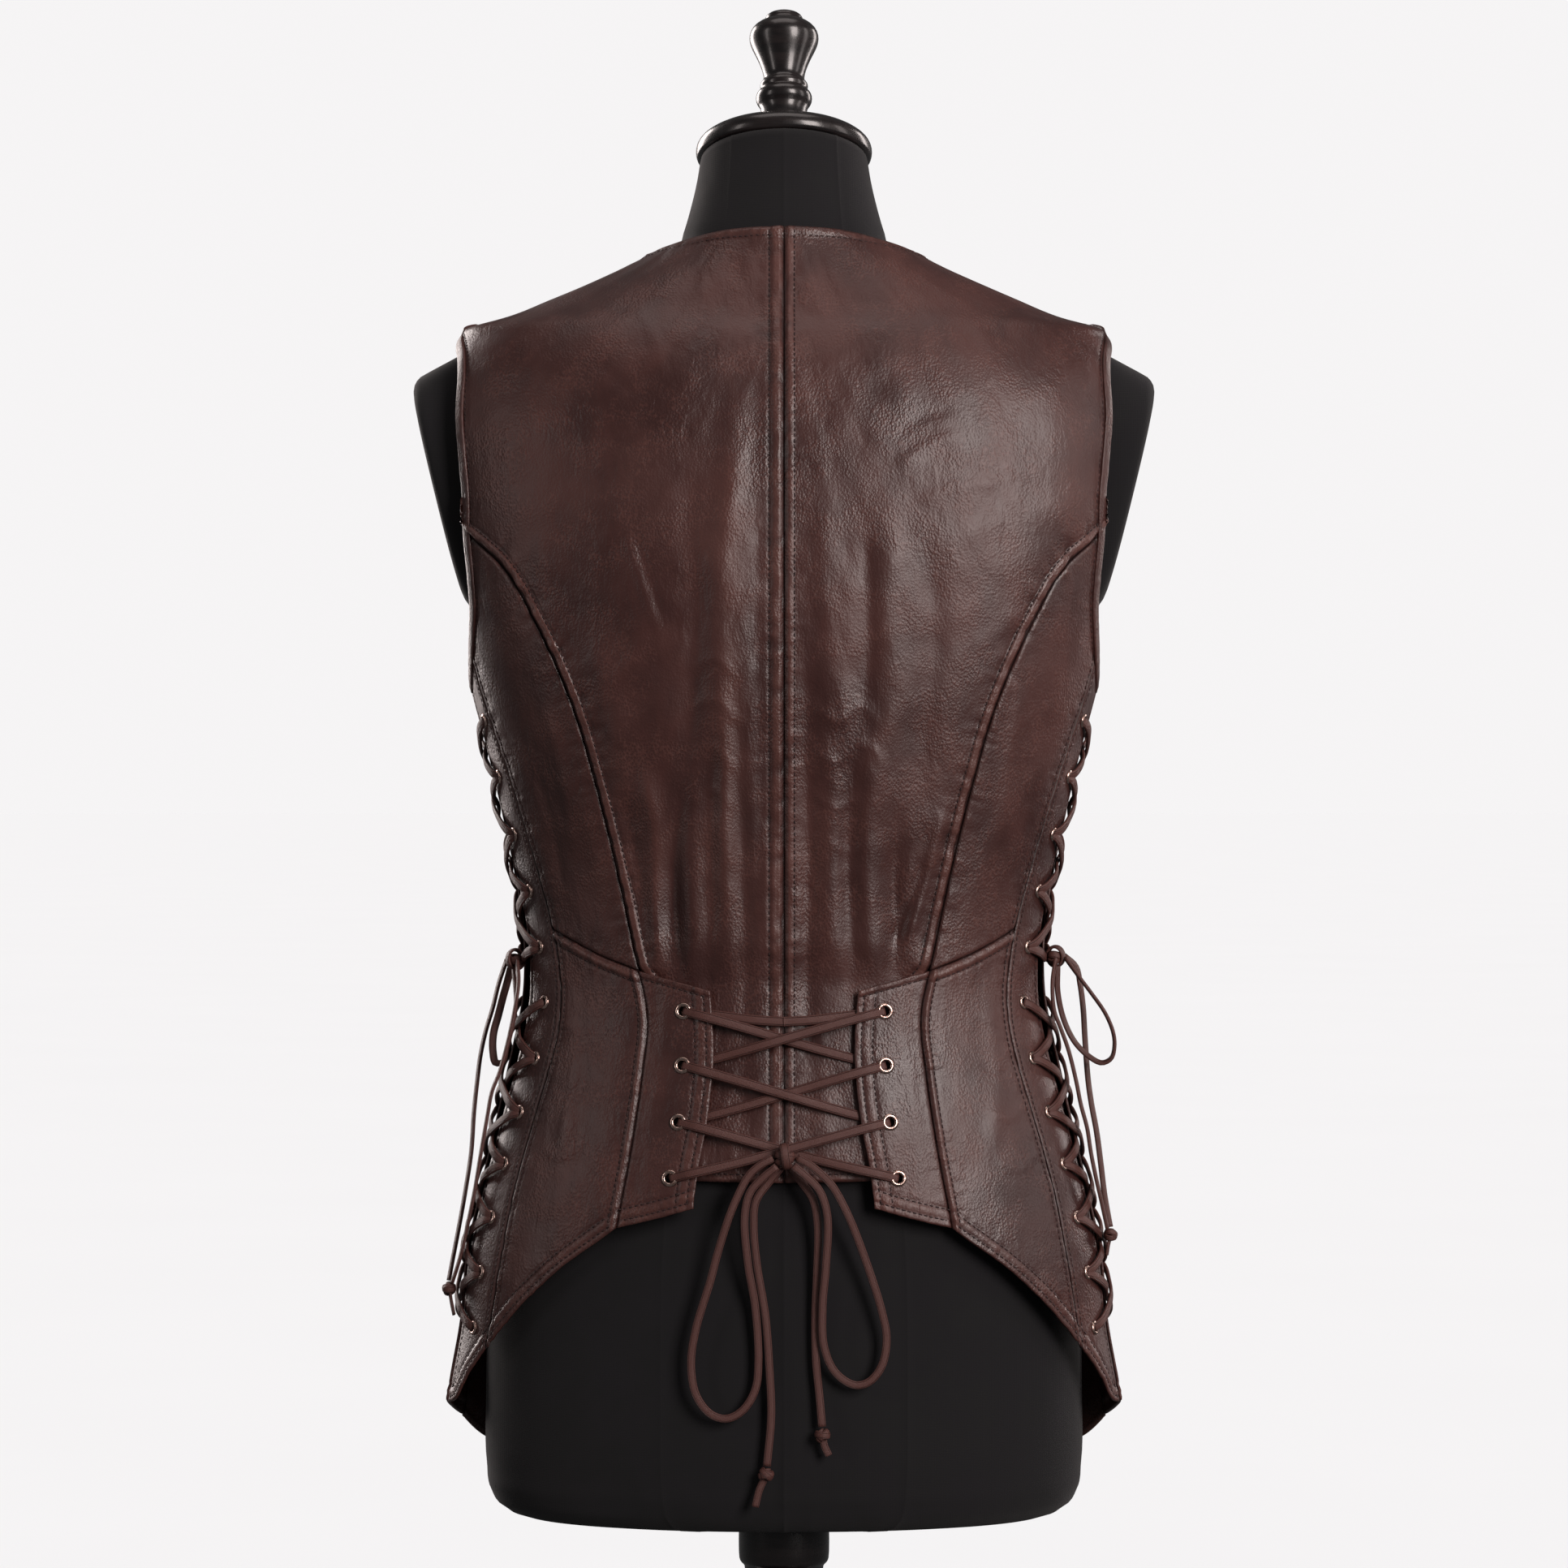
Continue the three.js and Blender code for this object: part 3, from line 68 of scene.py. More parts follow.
# z, half width, depth behind, depth before, power, shift, tilt
FORM_SECTIONS = [
    (270, 150, 72, 76, 2.2, 0, 0), (272.5, 168, 87, 91, 2.2, 0, 0), (278, 181, 97, 101, 2.2, 0, 0),
    (289, 189.5, 103, 108, 2.2, 0, 0), (304, 191.8, 105, 110, 2.2, 0, 0), (350, 192.3, 106, 111, 2.2, 0, 0),
    (400, 191, 106, 110, 2.2, 0, 0), (440, 187, 105, 109, 2.2, 0, 0), (480, 179, 102, 106, 2.2, 0, 0),
    (522, 171, 98, 101, 2.2, 0, 0), (560, 163, 92, 96, 2.15, 0, 0), (611, 157, 85.5, 92, 2.1, 0, 0),
    (641, 157, 85.5, 93, 2.1, 0, 0), (688, 164, 91, 100, 2.15, 0, 0), (725, 173, 97, 108, 2.2, 0, 0),
    (761, 182, 103, 115, 2.25, 0, 0), (803, 194, 109, 120, 2.3, 0, 0), (856, 203, 114, 121, 2.35, 0, 0),
    (925, 214, 113, 114, 2.4, 0, 0), (980, 214, 102, 97, 2.4, 0, 0), (1006, 208, 92, 83, 2.35, 0, 0),
    (1020, 207.7, 86.3, 77.5, 2.3, 0, 0), (1028, 201.4, 82.7, 75, 2.25, 0, 0),
    (1035, 177.4, 78.2, 70.5, 2.2, 0, 0), (1046, 150.4, 73.7, 64, 2.15, 0, 0),
    (1057, 125.4, 69.2, 58, 2.1, 0, 0), (1068, 104.4, 66.2, 53.5, 2.05, 0, 0),
    (1078, 83.7, 61.9, 48, 2, 0, 0), (1089, 68.5, 57.8, 44.5, 2, 0, 0), (1100, 64.5, 56.5, 46, 2, -1, 2),
    (1118, 59.5, 55, 50, 2, -5, 7), (1134, 56, 54.2, 53, 2, -9, 12), (1147, 54, 54, 54, 2, -12, 15),
]

# shift, low, high, depth
STUMP_RINGS = [
    (-62, 848, 1026, 47), (-34, 849, 1019.5, 47), (-14, 852, 1010, 46), (-6, 854.2, 1006, 45.6),
    (-3.2, 856.2, 1003.6, 44.8), (-1, 858.6, 1000.8, 43.4), (0.5, 861.8, 997.2, 41.2),
    (1.3, 866, 992.5, 38.2), (1.8, 873, 985.5, 33), (2.2, 892, 966, 22), (2.4, 925, 933, 4),
]

# Seam lines: turn in degrees, height
LINES = {
    "neck_back": [(-4, 1083), (22, 1089.5), (55, 1095.5), (90, 1097.3)],
    "neck_front": [(-4, 1083), (-32, 1068), (-62, 1034), (-90, 985)],
    "shoulder": [(-4, 1037), (-4, 1044), (-4, 1060), (-4, 1083)],
    "armhole_upper": [(16, 904), (16.4, 926), (14.6, 976), (10.6, 1013), (-4, 1037)],
    "armhole_side": [(10.8, 830), (14.1, 853), (15.2, 872), (16, 904)],
    "armhole_band": [(4.5, 807), (7.4, 815), (10.8, 830)],
    "armhole_front": [
        (-12.8, 819), (-18, 842), (-21.5, 875), (-23, 926), (-19, 976), (-12.5, 1013), (-4, 1037),
    ],
    "armhole_front_band": [(-3, 804), (-8, 808.5), (-12.8, 819)],
    "princess": [
        (41.6, 625), (40, 644), (38.3, 680), (36.5, 739), (34.1, 795), (28.9, 848), (24, 880), (16, 904),
    ],
    "under_tab": [(50, 497), (49, 560), (46.5, 606), (41.6, 625)],
    "centre_hem": [(50, 497), (64, 495), (90, 494)],
    "centre_back": [(90, 494), (90, 780), (90, 1097.3)],
    "waist": [(18.6, 651), (23.4, 644.5), (31.9, 634), (41.6, 625)],
    "band_seam_upper": [(18.6, 651), (16.7, 691), (15.3, 730), (13.3, 770), (11.6, 806), (10.8, 830)],
    "band_seam_lower": [
        (17.6, 385), (19.2, 440), (19.6, 490), (20.6, 531), (21.8, 576), (21.2, 604), (18.6, 651),
    ],
    "band_edge": [
        (7.2, 347), (7.8, 432), (8.4, 502), (10.4, 568), (9.8, 604), (7.4, 675), (5.2, 748), (4.5, 807),
    ],
    "band_hem": [(7.2, 347), (10.4, 350), (13.4, 365.6), (17.6, 385)],
    "peplum_hem": [(17.6, 385), (25.2, 414.3), (32.9, 439), (43.9, 465)],
    "tab_seam": [(43.9, 465), (45.3, 517), (45.3, 561), (44.8, 594), (41.6, 625)],
    "tab_hem": [(43.9, 465), (53, 471), (62.7, 478)],
    "tab_top": [(41.6, 625), (52.1, 619), (63.3, 613)],
    "tab_edge": [(62.7, 478), (63.6, 504.6), (65, 528), (65.6, 572.6), (63.3, 613)],
    "front_band_seam_upper": [(-10, 604), (-11, 675), (-12, 748), (-12.8, 819)],
    "front_band_seam_lower": [(-11.5, 330), (-10.5, 432), (-10, 502), (-9.5, 568), (-10, 604)],
    "front_band_edge": [
        (-0.5, 344.5), (0, 432), (0.5, 502), (1.5, 568), (0.5, 604), (-1, 675), (-2.5, 748), (-3, 804),
    ],
    "front_band_hem": [(-0.5, 344.5), (-6, 338), (-11.5, 330)],
    "front_hem": [(-11.5, 330), (-20, 310), (-40, 287), (-65, 276), (-90, 272)],
    "centre_front": [(-90, 272), (-90, 620), (-90, 985)],
}

# turn, height
BACK_EYELETS = [(55.2, 600.2), (56.4, 566.4), (56.9, 531.1), (56, 496.4)]

# turn on the back band, turn on the front band, height
SIDE_EYELETS = [
    (9.7, -8.5, 783.5), (9.7, -8, 747.7), (11, -7.5, 710.8), (12.4, -6.5, 674.5), (13.7, -5.6, 638.7),
    (16, -5, 603.8), (16.8, -4.6, 568.4), (15.8, -4.8, 534), (14.8, -5.2, 501), (14.4, -5.5, 467),
    (14, -5.8, 432), (13.2, -6, 396.5),
]

# turn, low, high, width, depth, lean
FOLDS = {
    "left": [
        (50, 618, 712, 3.2, 3.2, 0.02), (56, 612, 760, 3.4, -1.6, 0.03), (62, 606, 800, 3.2, 2.2, 0.04),
        (70, 630, 900, 4.2, -2, 0), (77, 520, 880, 3.4, 1.8, -0.01), (84, 630, 720, 2.6, -1.1, 0),
    ],
    "right": [
        (51, 618, 720, 3, 3.4, 0.03), (58, 612, 790, 3.6, -1.8, 0.04), (65, 606, 760, 3, 2, 0.03),
        (72, 630, 960, 4.6, -2.1, 0.02), (80, 520, 840, 3.4, 1.7, 0.01), (85, 630, 700, 2.4, -0.9, 0),
    ],
}

# Routes of the free laces: x, y, z
ROUTES = {
    "back_loop_left": [
        (6.83, 117.63, 509.9), (15, 118, 505.5), (22, 118, 499), (29, 118, 486), (34, 118, 474),
        (41, 116, 452), (46, 115, 433), (55, 113, 403), (58, 112, 382), (55, 112, 362), (46, 112, 350),
        (36, 112, 347), (26, 112, 352), (18, 112, 365), (16, 112, 382), (18, 113, 417), (22.5, 116, 444),
        (24.5, 118.5, 474), (21, 119.5, 489), (13, 120, 498), (4.41, 120.81, 505.04),
    ],
    "back_loop_right": [
        (-7.89, 117.61, 510.22), (-15, 118, 506.5), (-21, 118, 502), (-29, 118, 494), (-33, 118, 488),
        (-41, 118, 472), (-53, 115, 440), (-61, 113, 414), (-64, 112, 397), (-61, 112, 380),
        (-53, 112, 370), (-44, 112, 368), (-32, 113, 376), (-25, 114, 392), (-24, 115, 417),
        (-26, 116.5, 442), (-27, 118.5, 474), (-22, 119.5, 490), (-14, 120, 498.5), (-5.75, 120.79, 505.41),
    ],
    "back_tail_left": [
        (1.73, 114.17, 503.98), (9.5, 112.8, 494.5), (17.5, 113.5, 483), (19, 113.5, 468), (17, 113, 444),
        (11.5, 112, 410), (9, 112, 376), (8, 112, 349), (10.68, 112, 317.45),
    ],
    "back_tail_right": [
        (-3, 114.26, 504.14), (-11, 112.8, 494.5), (-18, 113.5, 484), (-21, 113, 468), (-20.5, 111.5, 437),
        (-19.5, 110.8, 410), (-20, 110.8, 382), (-22, 111, 362), (-23.75, 112, 341.99),
    ],
    "side_loop_left": [
        (174, 18.33, 623.66), (172.5, 25, 612.5), (172, 27, 602), (174.5, 27, 586), (177.5, 27, 574),
        (180, 26, 565), (185, 24, 564), (187, 21, 571), (187, 17, 582), (184, 14, 594), (181, 12, 606),
        (178.5, 11, 615), (176.01, 12.65, 624.31),
    ],
    "side_loop_right": [
        (-181.07, 18.47, 630.71), (-188, 25, 621), (-197, 27, 609), (-206, 27, 596), (-211, 27, 584),
        (-212, 26, 575), (-210, 25, 567), (-204, 24, 564), (-196, 23, 568), (-187, 22, 577),
        (-180, 21, 591), (-176, 20, 609), (-175.94, 18.96, 625.69),
    ],
    "side_tail_outer_left": [
        (178.96, 10.78, 629.25), (184.3, 5.5, 614), (188, 5, 599), (192.5, 5, 584), (196, 5, 568),
        (198, 6, 552), (200, 8, 532), (201.5, 13, 506), (205, 18, 481), (209, 20, 458), (213, 21, 437),
        (215.3, 22.68, 424.14),
    ],
    "side_tail_outer_right": [
        (-180.89, 12.11, 632.09), (-188.5, 8.5, 625), (-191, 9, 614), (-193, 9, 598), (-194, 10, 580),
        (-196, 12, 552), (-198, 14, 537), (-201, 17, 520), (-203.5, 20, 500), (-206, 21, 479),
        (-209.5, 23.09, 458.53),
    ],
    "side_tail_inner_left": [
        (171.26, 23.67, 628.95), (170, 32, 616), (172, 33, 601), (177, 33, 577), (182, 33, 559),
        (187, 33, 546), (190, 33, 530), (194, 33, 507), (198, 33, 483), (203, 32, 459), (208, 31, 438),
        (212.79, 27.79, 423.53),
    ],
    "side_tail_inner_right": [
        (-174.51, 23.39, 630.49), (-172, 31, 616), (-173, 33, 598), (-177, 33, 587), (-182, 33, 573),
        (-187, 33, 553), (-190, 33, 538), (-194, 33, 523), (-196.5, 33, 507), (-199.5, 33, 492),
        (-203, 32, 477), (-207.28, 28.22, 458.12),
    ],
}

# ---- camera ---------------------------------------------------------------

scene = bpy.context.scene
scene.view_settings.view_transform = "Standard"

SENSOR = 36.0
FOCAL_SHARE = 6000.0 / 1932.0


def camera():
    """A long lens, level, straight behind the form."""
    data = bpy.data.cameras.new("camera")
    data.sensor_width = SENSOR
    data.lens = SENSOR * FOCAL_SHARE
    obj = bpy.data.objects.new("camera", data)
    scene.collection.objects.link(obj)
    obj.location = (0.0, 3.15, 0.743)
    obj.rotation_euler = (math.radians(90), 0, math.radians(180))
    scene.camera = obj


camera()

# ---- smooth columns and lines ---------------------------------------------


def column(rows, index):
    """Reader of one column by height: cubic Hermite through the rows, with the
    slopes of the parabola through each row and its two neighbours."""
    z = np.array([r[0] for r in rows], float)
    v = np.array([r[index] for r in rows], float)
    step, slope = np.diff(z), np.diff(v) / np.diff(z)
    tangent = np.concatenate([
        slope[:1],
        (step[:-1] * slope[1:] + step[1:] * slope[:-1]) / (step[:-1] + step[1:]),
        slope[-1:],
    ])

    def read(height):
        h = np.clip(height, z[0], z[-1])
        i = np.clip(np.searchsorted(z, h) - 1, 0, len(step) - 1)
        t = (h - z[i]) / step[i]
        t2, t3 = t * t, t * t * t
        ends = (2 * t3 - 3 * t2 + 1) * v[i] + (3 * t2 - 2 * t3) * v[i + 1]
        return ends + step[i] * ((t3 - 2 * t2 + t) * tangent[i] + (t3 - t2) * tangent[i + 1])

    return read


def sections(rows):
    return [column(rows, i) for i in range(1, len(rows[0]))]


VEST = sections(VEST_SECTIONS)
FORM = sections(FORM_SECTIONS)


def ring(shape, turn, z):
    """Point of a ring: a superellipse |x/half|^p + |y/depth|^p = 1 at its height."""
    angle = np.radians(turn)
    across, along = np.cos(angle), np.sin(angle)
    depth = np.where(along >= 0, shape[1](z), shape[2](z))
    power = shape[3](z)
    radius = (np.abs(across / shape[0](z)) ** power + np.abs(along / depth) ** power) ** (-1 / power)
    return np.stack([radius * across, radius * along, z + 0 * turn], -1)


def unit(v):
    return v / np.maximum(np.linalg.norm(v, axis=-1, keepdims=True), 1e-9)


def ring_normal(shape, turn, z):
    """Outward normal: cross product of the steps round and up the surface."""
    round_ = ring(shape, turn + 0.5, z) - ring(shape, turn - 0.5, z)
    up = ring(shape, turn, z + 0.5) - ring(shape, turn, z - 0.5)
    return unit(np.cross(round_, up))


def on_vest(turn, z, lift=0.0):
    lift = np.asarray(lift, float)[..., None] if np.ndim(lift) else lift
    return ring(VEST, turn, z) + ring_normal(VEST, turn, z) * lift


def smooth(value):
    t = np.clip(value, 0, 1)
    return t * t * (3 - 2 * t)


def catmull(points, fine=24):
    """Centripetal Catmull-Rom curve through the points, `fine` steps a span."""
    p = np.asarray(points, float)
    p = np.vstack([2 * p[0] - p[1], p, 2 * p[-1] - p[-2]])
    knot = np.maximum(np.linalg.norm(np.diff(p, axis=0), axis=1), 1e-6) ** 0.5
    a, b, c, d = p[:-3], p[1:-2], p[2:-1], p[3:]
    k0, k1, k2 = (k[:, None] for k in (knot[:-2], knot[1:-1], knot[2:]))
    m1 = (b - a) / k0 - (c - a) / (k0 + k1) + (c - b) / k1
    m2 = (c - b) / k1 - (d - b) / (k1 + k2) + (d - c) / k2
    m1, m2 = m1 * k1, m2 * k1
    t = (np.arange(fine) / fine)[None, :, None]
    b, c, m1, m2 = (x[:, None, :] for x in (b, c, m1, m2))
    curve = (
        b + m1 * t + (3 * (c - b) - 2 * m1 - m2) * t**2 + (2 * (b - c) + m1 + m2) * t**3
    )
    return np.vstack([curve.reshape(-1, p.shape[1]), p[-2]])


def crowded(count, crowd=0.0):
    """Shares from 0 to 1: t less crowd * sin(2 pi t) / (2 pi), closer together
    at both ends."""
    t = np.linspace(0, 1, count + 1)
    return t - crowd * np.sin(2 * np.pi * t) / (2 * np.pi)


def spaced(points, count, crowd=0.0):
    """The same polyline at `count` + 1 points, evenly spaced or crowded at its ends."""
    length = np.concatenate([[0], np.cumsum(np.linalg.norm(np.diff(points, axis=0), axis=1))])
    at = crowded(count, crowd) * length[-1]
    return np.stack([np.interp(at, length, points[:, k]) for k in range(points.shape[1])], -1)


TURN_SCALE = 3.0


def line(name, step=2.0):
    """A seam line as (turn, height) rows about `step` mm apart."""
    rows = np.array(LINES[name], float) * (TURN_SCALE, 1)
    curve = catmull(rows)
    length = np.linalg.norm(np.diff(curve, axis=0), axis=1).sum()
    return spaced(curve, max(2, round(length / step))) / (TURN_SCALE, 1)


def chain(*parts):
    return np.vstack([parts[0]] + [p[1:] for p in parts[1:]])


def resample(rows, count, crowd=0.0):
    return spaced(rows * (TURN_SCALE, 1), count, crowd) / (TURN_SCALE, 1)


def patch(bottom, top, left, right, across, up, crowd=0.0):
    """Coons patch of four edge lines: both blends of facing edges, less the
    blend of the four corners; columns crowd towards the left and right edges."""
    bottom, top = resample(bottom, across, crowd), resample(top, across, crowd)
    left, right = resample(left, up), resample(right, up)
    u = crowded(across, crowd)[None, :, None]
    v = np.linspace(0, 1, up + 1)[:, None, None]
    sides = (1 - u) * left[:, None] + u * right[:, None]
    ends = (1 - v) * bottom[None] + v * top[None]
    low = (1 - u) * bottom[0] + u * bottom[-1]
    high = (1 - u) * top[0] + u * top[-1]
    return sides + ends - (1 - v) * low - v * high


def lattice(seed, shape=(64, 64)):
    return np.random.default_rng(seed).uniform(-1, 1, shape)


def soft_noise(x, y, seed):
    """Smooth noise: random values on a unit lattice, blended by smooth steps."""
    grid = lattice(seed)
    i, j = np.floor(x).astype(int), np.floor(y).astype(int)
    u, v = smooth(x - i), smooth(y - j)
    at = lambda a, b: grid[a % 64, b % 64]
    low = at(i, j) * (1 - u) + at(i + 1, j) * u
    high = at(i, j + 1) * (1 - u) + at(i + 1, j + 1) * u
    return low * (1 - v) + high * v


def line_distance(points, curve):
    """Distance of each point to a polyline in space, and how far along it lies."""
    best = np.full(points.shape[:-1], 1e9)
    along = np.zeros(points.shape[:-1])
    start = 0.0
    for a, b in zip(curve[:-1], curve[1:]):
        span = np.linalg.norm(b - a)
        t = np.clip(((points - a) @ (b - a)) / span**2, 0, 1)
        gap = np.linalg.norm(points - a - t[..., None] * (b - a), axis=-1)
        closer = gap < best
        along = np.where(closer, start + t * span, along)
        best = np.where(closer, gap, best)
        start += span
    return best, along


# ---- meshes ---------------------------------------------------------------


def mesh_object(name, points, faces, material, uv=None, rub=None):
    """A named object from millimetre points and quads, where a last index of -1
    marks a triangle; `uv` holds a pair for each point, and the last argument a value
    for each point that pales raised relief (wear and painted highlight) and darkens
    grooves and hollows (painted shade)."""
    mesh = bpy.data.meshes.new(name)
    faces = np.asarray(faces)
    three = faces[:, 3] < 0
    corners = faces[~three].tolist() + faces[three, :3].tolist()
    mesh.from_pydata((np.asarray(points) * MM).tolist(), [], corners)
    mesh.polygons.foreach_set("use_smooth", [True] * len(mesh.polygons))
    if rub is not None:
        mesh.attributes.new("rub", "FLOAT", "POINT").data.foreach_set("value", np.asarray(rub, float))
    if uv is not None:
        corner = np.empty(len(mesh.loops), int)
        mesh.loops.foreach_get("vertex_index", corner)
        mesh.uv_layers.new(name="lay").data.foreach_set("uv", np.asarray(uv, float)[corner].ravel())
    mesh.update()
    mesh.materials.append(material)
    obj = bpy.data.objects.new(name, mesh)
    scene.collection.objects.link(obj)
    return obj


def grid_faces(rows, cols, wrap=False):
    """Quads of a grid, row by row; `wrap` joins each row's end to its start."""
    last = cols if wrap else cols - 1
    j, i = np.meshgrid(np.arange(rows - 1), np.arange(last), indexing="ij")
    k = (i + 1) % cols
    return np.stack([j * cols + i, j * cols + k, (j + 1) * cols + k, (j + 1) * cols + i], -1).reshape(-1, 4)


def piece(obj, slot, *nodes):
    """Lets a finished piece ride on the part, in place of its CAD nodes."""
    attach(obj, "root")
    if nodes:
        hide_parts(*nodes)
    return obj


def fan(hub, ring_of, outward=True):
    """Triangles from a hub to a closed ring of points."""
    after = np.roll(ring_of, -1)
    first, second = (ring_of, after) if outward else (after, ring_of)
    return np.stack([np.full(len(ring_of), hub), first, second, np.full(len(ring_of), -1)], -1)


def flipped(points, faces):
    """The same shape on the wearer's other side, still facing outwards."""
    back = np.where(faces[:, 3:] < 0, faces[:, [2, 1, 0, 3]], faces[:, ::-1])
    return points * (-1, 1, 1), back


def sided(side, points, faces):
    """Modelled on the left; mirrored where the right is asked for."""
    return flipped(points, faces) if side == "right" else (points, faces)


def merge(parts):
    """Several (points, faces) as one."""
    points, faces, start = [], [], 0
    for p, f in parts:
        points.append(p)
        faces.append(np.where(np.asarray(f) < 0, -1, np.asarray(f) + start))
        start += len(p)
    return np.vstack(points), np.vstack(faces)


def leather_wall(name, points, faces, rub):
    """A skin given its wall inwards by a Solidify modifier."""
    obj = mesh_object(name, points, faces, VEST_LEATHER, rub=rub)
    wall = obj.modifiers.new("wall", "SOLIDIFY")
    wall.thickness = LEATHER * MM
    wall.offset = -1.0
    wall.use_even_offset = False
    return obj


def lathe(profile, sides, centre=(0, 0, 0), tilt=0.0):
    """Profile of (radius, height) turned round +Z, then tilted about X; a
    profile that starts and ends on the axis is closed there by fans."""
    profile = np.asarray(profile, float)
    closed = profile[0, 0] == 0 and profile[-1, 0] == 0
    r, z = (profile[1:-1] if closed else profile).T
    turn = np.arange(sides) * 2 * np.pi / sides
    points = np.stack([
        r[:, None] * np.cos(turn), r[:, None] * np.sin(turn), np.repeat(z[:, None], sides, 1)
    ], -1).reshape(-1, 3)
    faces = grid_faces(len(r), sides, wrap=True)
    if closed:
        hubs = [[0, 0, profile[0, 1]], [0, 0, profile[-1, 1]]]
        rim, n = np.arange(sides), len(points)
        faces = np.vstack([faces, fan(n, rim, False), fan(n + 1, n - sides + rim)])
        points = np.vstack([points, hubs])
    c, s = math.cos(math.radians(tilt)), math.sin(math.radians(tilt))
    x, y, z = points.T
    points = np.stack([x, y * c - z * s, y * s + z * c], -1) + np.asarray(centre, float)
    return points, faces


# ---- the worn surface and its relief --------------------------------------

CB = line("centre_back")
PRINCESS = chain(line("under_tab"), line("princess"))
SHOULDER = line("shoulder")


def in_space(rows, lift=0.0):
    return on_vest(rows[:, 0], rows[:, 1], lift)


def wrinkle(turn, z, seed, sizes):
    """Sum of soft noises; each size is across mm, tall mm, height mm, lean."""
    total = 0.0
    for k, (across, tall, height, lean) in enumerate(sizes):
        x = turn * TURN_SCALE + lean * z
        total = total + height * soft_noise(x / across, z / tall, seed + 7 * k)
    return total


def centre_lift(turn, z, side):
    """The centre back: drawn in below the waist, less its named folds."""
    inside = np.maximum(smooth((turn - 42) / 8), smooth((630 - z) / 6))
    lift = -TUCK * smooth((645 - z) / 30) * inside
    for at, low, high, width, depth, lean in FOLDS[side]:
        middle, reach = (low + high) / 2, (high - low) / 2
        height = smooth(1.25 - np.abs(z - middle) / reach)
        offset = (turn - at - lean * (z - low)) / width
        lift = lift - depth * height * np.exp(-offset * offset)
    return lift


def tab_lift(turn):
    return TAB_LIFT * smooth((turn - 46) / 5)


def seam_relief(gap, along, groove=0.9, ridge=0.0, low=2.0, high=9.0, seed=1, pucker=0.5):
    """Relief beside one seam, by distance to it and way along it: a groove
    exp(-(d/1.1)^2) on the line itself, a rounded band between `low` and `high`
    mm, and short puckers across that band."""
    band = smooth((gap - low) / 1.5) * smooth((high - gap) / 3.5)
    short = soft_noise(along / 3.1, gap / 9.0, seed) + 0.6 * soft_noise(along / 7.5, gap / 20.0, seed + 1)
    fade = np.exp(-((gap / (high + 5.0)) ** 2))
    return -groove * np.exp(-((gap / 1.1) ** 2)) + ridge * band + pucker * short * fade * smooth(gap / 1.5)


def stretch(turn, z, step):
    """Length on the vest of a small step (turn, height) taken to each side."""
    ahead, behind = ring(VEST, turn + step[0], z + step[1]), ring(VEST, turn - step[0], z - step[1])
    return np.linalg.norm(ahead - behind, axis=-1)


def offset_line(rows, gap):
    """The same line moved `gap` mm to its left on the surface."""
    rows = resample(rows, max(4, len(rows)))
    d = np.gradient(rows, axis=0)
    a, b = stretch(*rows.T, (0.5, 0)), stretch(*rows.T, (0, 0.5))
    t = unit(np.stack([d[:, 0] * a, d[:, 1] * b], -1))
    move = np.stack([-t[:, 1] * gap / a, t[:, 0] * gap / b], -1)
    return rows + move


# ---- materials ------------------------------------------------------------


class Value:
    """A node socket that takes part in Python sums; each operator adds a node."""

    def __init__(self, board, socket):
        self.board, self.socket = board, socket

    def _math(self, operation, other, swap=False):
        pair = (other, self) if swap else (self, other)
        return self.board.node("ShaderNodeMath", {"operation": operation}, {0: pair[0], 1: pair[1]})

    def __add__(self, other):
        return self._math("ADD", other)

    def __sub__(self, other):
        return self._math("SUBTRACT", other)

    def __rsub__(self, other):
        return self._math("SUBTRACT", other, swap=True)

    def __mul__(self, other):
        return self._math("MULTIPLY", other)


